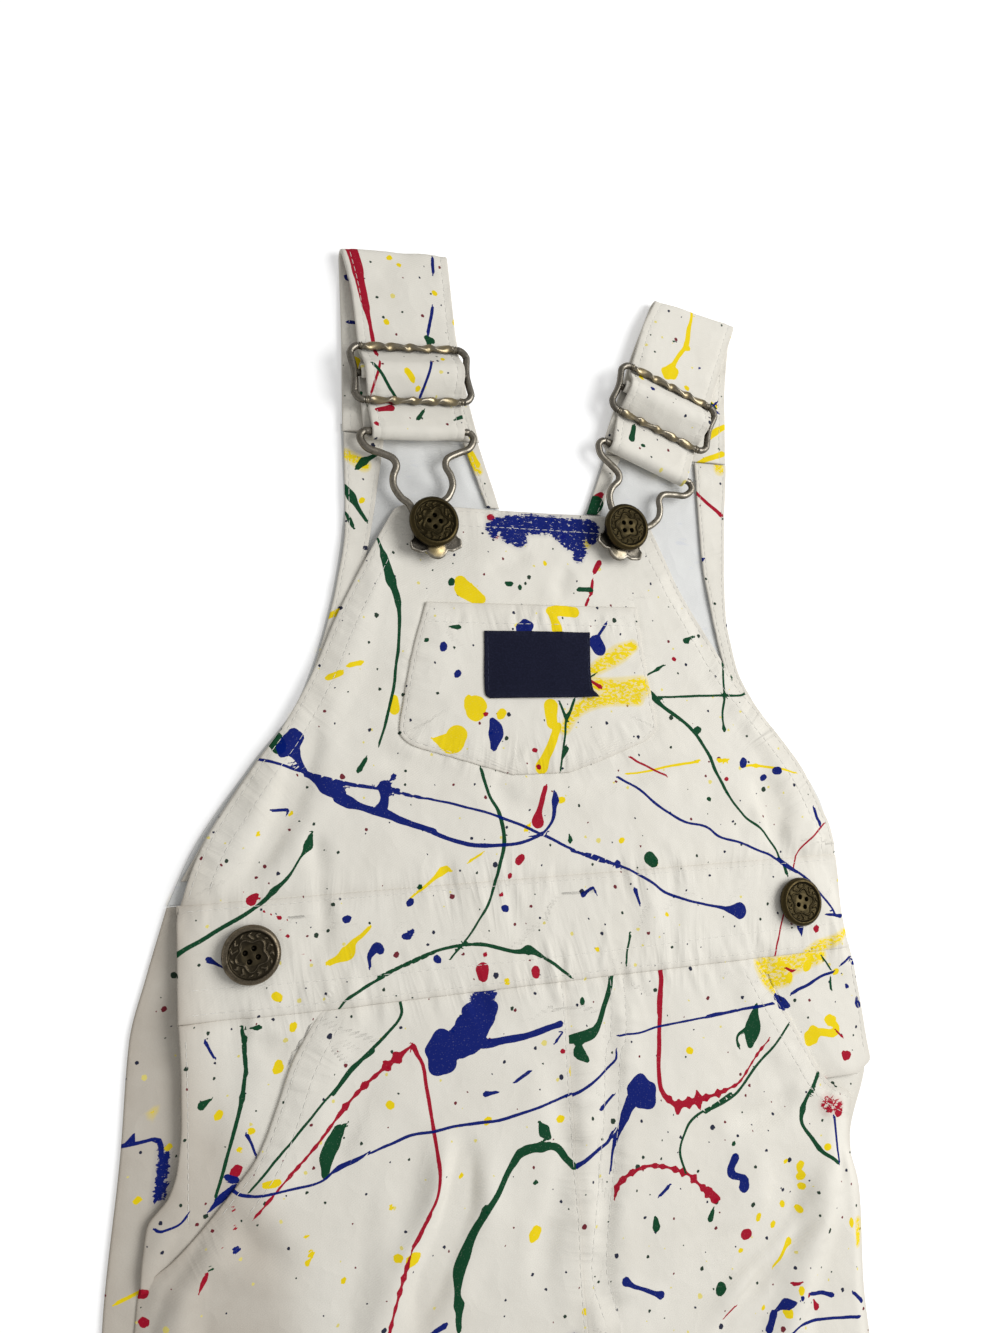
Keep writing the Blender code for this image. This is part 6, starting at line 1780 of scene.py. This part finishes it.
def capped(rows, columns):
    # a tube's triangles with both ends closed, each round one more point after the grid's own
    k = np.arange(columns)
    n = (k + 1) % columns
    size = rows * columns
    last = size - columns
    return np.concatenate([tris(wrap(rows, columns, False)), np.stack([np.full(columns, size), n, k], 1),
                           np.stack([np.full(columns, size + 1), last + k, last + n], 1)])


def tube(path, broad, thin, twist, closed, sides=20):
    # an oval carried along a path, turned by the twist at each point
    ahead = np.roll(path, -1, 0) - np.roll(path, 1, 0) if closed else np.gradient(path, axis=0)
    ahead /= np.linalg.norm(ahead, axis=1, keepdims=True)
    across = np.cross(ahead, (0.0, 0.0, 1.0))
    across /= np.linalg.norm(across, axis=1, keepdims=True)
    up = np.cross(across, ahead)
    turn = np.arange(sides) * 2.0 * np.pi / sides
    a, b = broad[:, None] * np.cos(turn), thin[:, None] * np.sin(turn)
    c, s = np.cos(twist)[:, None], np.sin(twist)[:, None]
    points = (path[:, None] + across[:, None] * (a * c - b * s)[:, :, None]
              + up[:, None] * (a * s + b * c)[:, :, None])
    crest = np.abs(np.cos(turn))[None] * (broad / np.maximum(thin, 0.1) - 1.0)[:, None]
    return points, crest


# Half of a hook's wire, from the middle of its bar down to the slot.
hookHalf = [(13.5, 0.0), (16.6, -0.2), (17.8, -2.2), (16.0, -5.2), (12.0, -6.8), (8.6, -8.4), (7.7, -10.8),
            (9.0, -13.8), (9.2, -17.0), (7.4, -20.4), (5.0, -22.6)]


def buildHook(side):
    # a keyhole of wire: bar in the strap's lower fold, shoulders, a loop and the slot round the shank
    buckle, half = buckles[side], hookHalf
    bu, bv = buckle["shank"]
    slot = buttonLook["shank"] + strapLook["gap"] + strapLook["wire"]
    ring = half + [(slot + bu, bv + 2.0)]
    ring += [(bu + slot * math.cos(a), bv + slot * math.sin(a)) for a in np.radians([-30.0, -90.0, -150.0])]
    ring += [(-slot + bu, bv + 2.0)] + [(-u, v) for u, v in reversed(half)]
    plan = curveThrough(ring, 0.7, ring=True)
    x, y = onStrap(buckle, plan[:, 0], plan[:, 1])
    path = np.stack([x, y, hookZ + (hookZ - hookLow) / abs(bv) * np.minimum(plan[:, 1], 0.0)], 1)
    girth = strapLook["wire"] * (1.0 + 0.05 * ripples(lengths(path), 4.0, 55))
    points, _ = tube(path, girth, girth * 0.96, np.zeros(len(path)), True)
    # painted highlight and shade: the wire is brighter on top and duller on its sides and underside, with
    # wear that changes along it
    wear = np.clip(0.35 + 0.5 * (points[:, :, 2] - path[:, None, 2]) / 1.1, 0, 1)
    wear = wear + 0.25 * ripples(lengths(path), 7.0, 56)[:, None]
    hardware("hook_" + side, points.reshape(-1, 3), tris(wrap(*points.shape[:2])), wear, 0.03 + 0 * wear)


def hardware(name, points, faces, wear, brassy, look="nickel"):
    marks = {"wear": np.stack([np.clip(wear.ravel(), 0, 1), np.clip(brassy.ravel(), 0, 1),
                               np.zeros(wear.size)], 1)}
    given(solid(name + "_metal", points, faces, looks[look], marks), name)
    print(name, "made:", len(faces), "triangles")


def buildSlider(side):
    # a ring round two windows, drawn in at the middle, its long sides twisted like a flat wire, and a bar
    buckle, look = buckles[side], sliderLook
    lower, step = buckle["lower"], strapLook["barStep"]
    corner, ring = look["corner"], []
    for signV, level, start in ((1, lower + 2 * step, 0.0), (-1, lower, 180.0)):
        for signU, first in ((1, start), (-1, start + 90.0)):
            cu, cv = signV * signU * (look["half"] - corner), level - signV * corner
            ring += [(cu + corner * math.cos(a), cv + corner * math.sin(a))
                     for a in np.radians(first + np.arange(0.0, 91.0, 15.0))]
            if signU == 1:
                ring += [(signV * signU * u, level) for u in (11.0, 6.0, 0.0, -6.0, -11.0)]
        ring.append((-signV * look["waist"], lower + step))
    plan = curveThrough(ring, 0.22, ring=True)
    x, y = onStrap(buckle, plan[:, 0], plan[:, 1])
    path = np.stack([x, y, np.full(len(x), sliderZ)], 1)
    flat = 1.0 - easeTo((np.abs(plan[:, 0]) - look["half"] + 4.6) / 2.4)
    broad = look["side"] + (look["broad"] - look["side"]) * flat
    thin = look["side"] + (look["thin"] - look["side"]) * flat
    pull = plan[:, 0] / look["facet"] * np.pi + 0.35 * np.sin(plan[:, 0] * 0.9)
    points, crest = tube(path, broad, thin, pull * flat, True, look["sides"])
    # painted highlight and shade: the ring is brighter on its upper side and duller below; the crests of its
    # flat sides are worn bright
    up = (points[:, :, 2] - sliderZ) / look["broad"]
    wear = np.clip(0.30 + 0.45 * up + 0.5 * crest * flat[:, None], 0, 1)
    brassy = np.clip(0.55 * flat[:, None] * (up > 0.2) * (0.6 + 0.4 * np.cos(2 * pull))[:, None], 0, 1)
    faces = tris(wrap(*points.shape[:2]))
    # the bar across the middle, closed at both ends
    rows, sides = look["barRows"], look["barSides"]
    bar = np.linspace(-look["waist"], look["waist"], rows)
    path = np.stack([*onStrap(buckle, bar, np.full(rows, lower + step)), np.full(rows, sliderZ)], 1)
    girth = np.full(rows, look["bar"])
    more, _ = tube(path, girth, girth, 0 * girth, False, sides)
    barPoints = np.concatenate([more.reshape(-1, 3), path[[0, -1]]])
    points = points.reshape(-1, 3)
    faces = np.concatenate([outward(points, faces), outward(barPoints, capped(rows, sides)) + len(points)])
    allPoints = np.concatenate([points, barPoints])
    wear = np.concatenate([wear.ravel(), np.full(len(barPoints), 0.3)])
    brassy = np.concatenate([brassy.ravel(), np.zeros(len(barPoints))])
    hardware("slider_" + side, allPoints, faces, wear, brassy)


plateLook = {"ears": [(6.6, 1.0), (6.9, -4.6), (8.0, -5.3), (7.9, -7.6), (5.0, -8.8)], "tongue": 3.4,
             "tongueLow": 10.9, "wall": 0.7, "shift": 0.4, "hole": 3.2, "rows": 240, "rolled": 0.42,
             "flare": 0.5, "dome": 0.75}


def buildKeeper(side):
    # the stamped plate: an outline round a hole, its rim rolled up, its lower corners flared, a domed tongue
    buckle, look = buckles[side], plateLook
    low = hookLow + strapLook["wire"] + strapLook["gap"]
    tongue = [(look["tongue"] * math.cos(a), -look["tongueLow"] + look["tongue"] * (1.0 + math.sin(a)))
              for a in np.radians([-165.0, -150.0, -130.0, -110.0, -90.0, -70.0, -50.0, -30.0, -15.0])]
    half = look["ears"]
    corners = [(-u, v) for u, v in half] + tongue + list(reversed(half))
    loop = np.array(corners + corners[:1]) + (look["shift"], 0.0)
    run = lengths(loop)
    outer = onPath(loop, run, np.linspace(0.0, run[-1], look["rows"] + 1)[:-1])
    outer = sum(np.roll(outer, k, 0) for k in range(-2, 3)) / 5.0  # corners a little rounded
    inner = outer / np.linalg.norm(outer, axis=1, keepdims=True) * look["hole"]
    share = np.concatenate([np.linspace(0.0, 0.97, 12), [1.0, 1.0], np.linspace(0.97, 0.0, 12)])
    level = np.concatenate([np.zeros(12), [0.3, 0.7], np.ones(12)])
    plan = inner[:, None] + (outer - inner)[:, None] * share[None, :, None]
    reach = np.linalg.norm(outer - inner, axis=1)[:, None] * (1.0 - share)
    u, v = plan[:, :, 0] - look["shift"], plan[:, :, 1]
    rolled = look["rolled"] * np.exp(-(reach / 0.7) ** 2)
    flare = look["flare"] * easeTo((np.abs(u) - 6.5) / 3.0) * easeTo((-v - 3.0) / 3.0)
    dome = look["dome"] * np.clip(1.0 - (u**2 + (v + look["tongueLow"] - look["tongue"]) ** 2) / 9.6, 0, 1)
    z = low + look["wall"] * level + (rolled * level + flare + dome * (v < -4.5)) * 0.9
    x, y = leaned(buttonPlaces["bib_button_" + side], buckle, plan[:, :, 0], plan[:, :, 1])
    points = np.stack([x, y, z], 2)
    wear = np.clip(0.35 + 0.5 * level * np.exp(-(reach / 1.2) ** 2) + 0.5 * dome, 0, 1)
    brassy = (0.9 if side == "left" else 0.25) * np.clip(dome * 2.0, 0, 1)
    hardware("keeper_" + side, points.reshape(-1, 3), tris(wrap(*points.shape[:2])), wear, brassy)


buttonLook = {"radius": 7.6, "height": 2.8, "lip": 1.25, "sunk": 0.55, "shank": 2.9, "seat": 3.0,
              "foot": 1.2, "waves": 5, "leaves": 15, "raised": 0.26, "pit": 1.0, "pitRing": 1.75,
              "faceRows": 44, "sides": 192}
buttons = {
    "bib_button_left": {"neck": 4.3, "turn": 0.0, "look": "brass", "seed": 1},
    "bib_button_right": {"neck": 4.3, "turn": 42.0, "look": "brass", "seed": 2},
    "side_button_left": {"neck": 1.4, "turn": 20.0, "look": "greyBrass", "seed": 3},
    "side_button_right": {"neck": 1.4, "turn": 65.0, "look": "brass", "seed": 4},
}


def buildButton(name, button):
    # a profile turned round the shank; its face has a rim, a waved line with leaves round it and four pits
    look = buttonLook
    r, head = look["radius"], look["seat"] + button["neck"]
    top = head + look["height"]
    lip = np.radians(np.linspace(-90.0, 90.0, 15))
    lipR, lipZ = look["lip"], look["height"] / 2
    outer = np.stack([r - lipR + lipR * np.cos(lip), head + lipZ + lipZ * np.sin(lip)], 1)
    foot = look["seat"] - look["foot"]
    shank = [(0.02, foot), (look["shank"], foot), (look["shank"], head + 0.15)]
    inner, sides = look["faceRows"], look["sides"]
    inward = np.stack([np.linspace(r - lipR - 0.12, 0.02, inner), np.full(inner, top)], 1)
    profile = np.concatenate([shank, [(4.5, head + 0.05)], outer, inward])
    turn = np.arange(sides) * 2.0 * np.pi / sides
    radius, z = (profile[:, k][:, None] + 0 * turn for k in (0, 1))
    face = (np.arange(len(profile)) >= len(profile) - inner)[:, None]
    a = turn[None] + math.radians(button["turn"])
    sink = look["sunk"] * easeTo((r - lipR - radius) / 0.7)
    waved = 3.75 + 0.55 * np.cos(a * look["waves"])
    ring = np.exp(-((radius - waved) / 0.28) ** 2) * look["raised"]
    bars = easeTo(np.cos(a * look["leaves"] + 3.0 * np.abs(radius - 5.0)) * 1.5 - 0.2)
    bars = bars * easeTo((radius - waved - 0.55) / 0.3) * easeTo((5.75 - radius) / 0.3) * look["raised"]
    pits = np.zeros_like(radius)
    for k in range(4):
        pa = math.pi / 2 * k - math.radians(button["turn"])
        px, py = look["pitRing"] * math.cos(pa), look["pitRing"] * math.sin(pa)
        far = np.hypot(radius * np.cos(turn) - px, radius * np.sin(turn) - py)
        pits = np.maximum(pits, 1.0 - easeTo((far - 0.25) / 0.55))
    dents = 0.05 * swells(radius * np.cos(turn) * 3, radius * np.sin(turn) * 3, 4.0, button["seed"])
    z = np.where(face, z - sink + ring + bars - look["pit"] * pits * (radius < 3.0) + dents, z)
    cx, cy = buttonPlaces[name]
    x, y = cx + radius * np.cos(turn), cy + radius * np.sin(turn)
    rim = easeTo((radius - 5.6) / 1.2) * (z > head + 1.0)
    wear = np.where(face, 0.10 + 1.5 * bars + 1.4 * ring - 0.5 * pits, 0.20) + 0.40 * rim
    brassy = np.where(face & (radius < 2.7), 0.08 * (1.0 - pits), 0.04)
    poles = np.array([[cx, cy, foot], [cx, cy, z[-1].mean()]])
    points = np.concatenate([np.stack([x, y, z], 2).reshape(-1, 3), poles])
    wear = np.concatenate([wear.ravel(), [0.3, 0.3]])
    brassy = np.concatenate([brassy.ravel(), [0.0, 0.1]])
    hardware(name, points, capped(len(profile), sides), wear, brassy, button["look"])


for side in ("left", "right"):
    buildStrap(side)
    buildHook(side)
    buildSlider(side)
    buildKeeper(side)
for name, button in buttons.items():
    buildButton(name, button)

light = {
    "sky": 0.44,
    "keyPlace": (0.50, 0.16, 0.56), "keySize": 0.60, "keyPower": 4.7,
    "aim": (0.0, 0.06, 0.0),
    "floorGlow": 0.30, "floorHalf": 4000.0, "floorLow": -0.2,
}


def addLamp(name, place, size, power):
    data = bpy.data.lights.new(name, "AREA")
    data.shape = "DISK"
    data.size = size
    data.energy = power
    item = bpy.data.objects.new(name, data)
    item.location = place
    item.rotation_mode = "QUATERNION"
    item.rotation_quaternion = (Vector(light["aim"]) - Vector(place)).to_track_quat("-Z", "Y")
    scene.collection.objects.link(item)


def addStage():
    # a pale floor whose own faint glow, for the camera and for reflections, keeps it white round the shadows
    world = bpy.data.worlds.new("sky")
    scene.world = world
    world.use_nodes = True
    world.node_tree.nodes["Background"].inputs[0].default_value = (1.0, 1.0, 1.0, 1.0)
    world.node_tree.nodes["Background"].inputs[1].default_value = light["sky"]
    addLamp("key", light["keyPlace"], light["keySize"], light["keyPower"])
    recipe = Recipe("floor")
    ray = recipe.tree.nodes.new("ShaderNodeLightPath")
    seen = recipe.math("MAXIMUM", Wire(recipe, ray.outputs["Is Camera Ray"]),
                       Wire(recipe, ray.outputs["Is Glossy Ray"]))
    recipe.finish({"Base Color": (0.94, 0.94, 0.94, 1.0), "Roughness": 0.9, "Specular IOR Level": 0.0})
    glow = recipe.node("ShaderNodeEmission", {}, {"Strength": seen * light["floorGlow"]})
    both = recipe.node("ShaderNodeAddShader", {}, {0: Wire(recipe, recipe.shader.outputs[0]), 1: glow})
    recipe.feed(recipe.tree.nodes["Material Output"].inputs["Surface"], both)
    half, low = light["floorHalf"], light["floorLow"]
    corners = np.array([(-half, -half, low), (half, -half, low), (half, half, low), (-half, half, low)])
    floor = newMesh("floor", corners, [[0, 1, 2, 3]], [recipe.material])


addStage()
print("stage and lamps set")
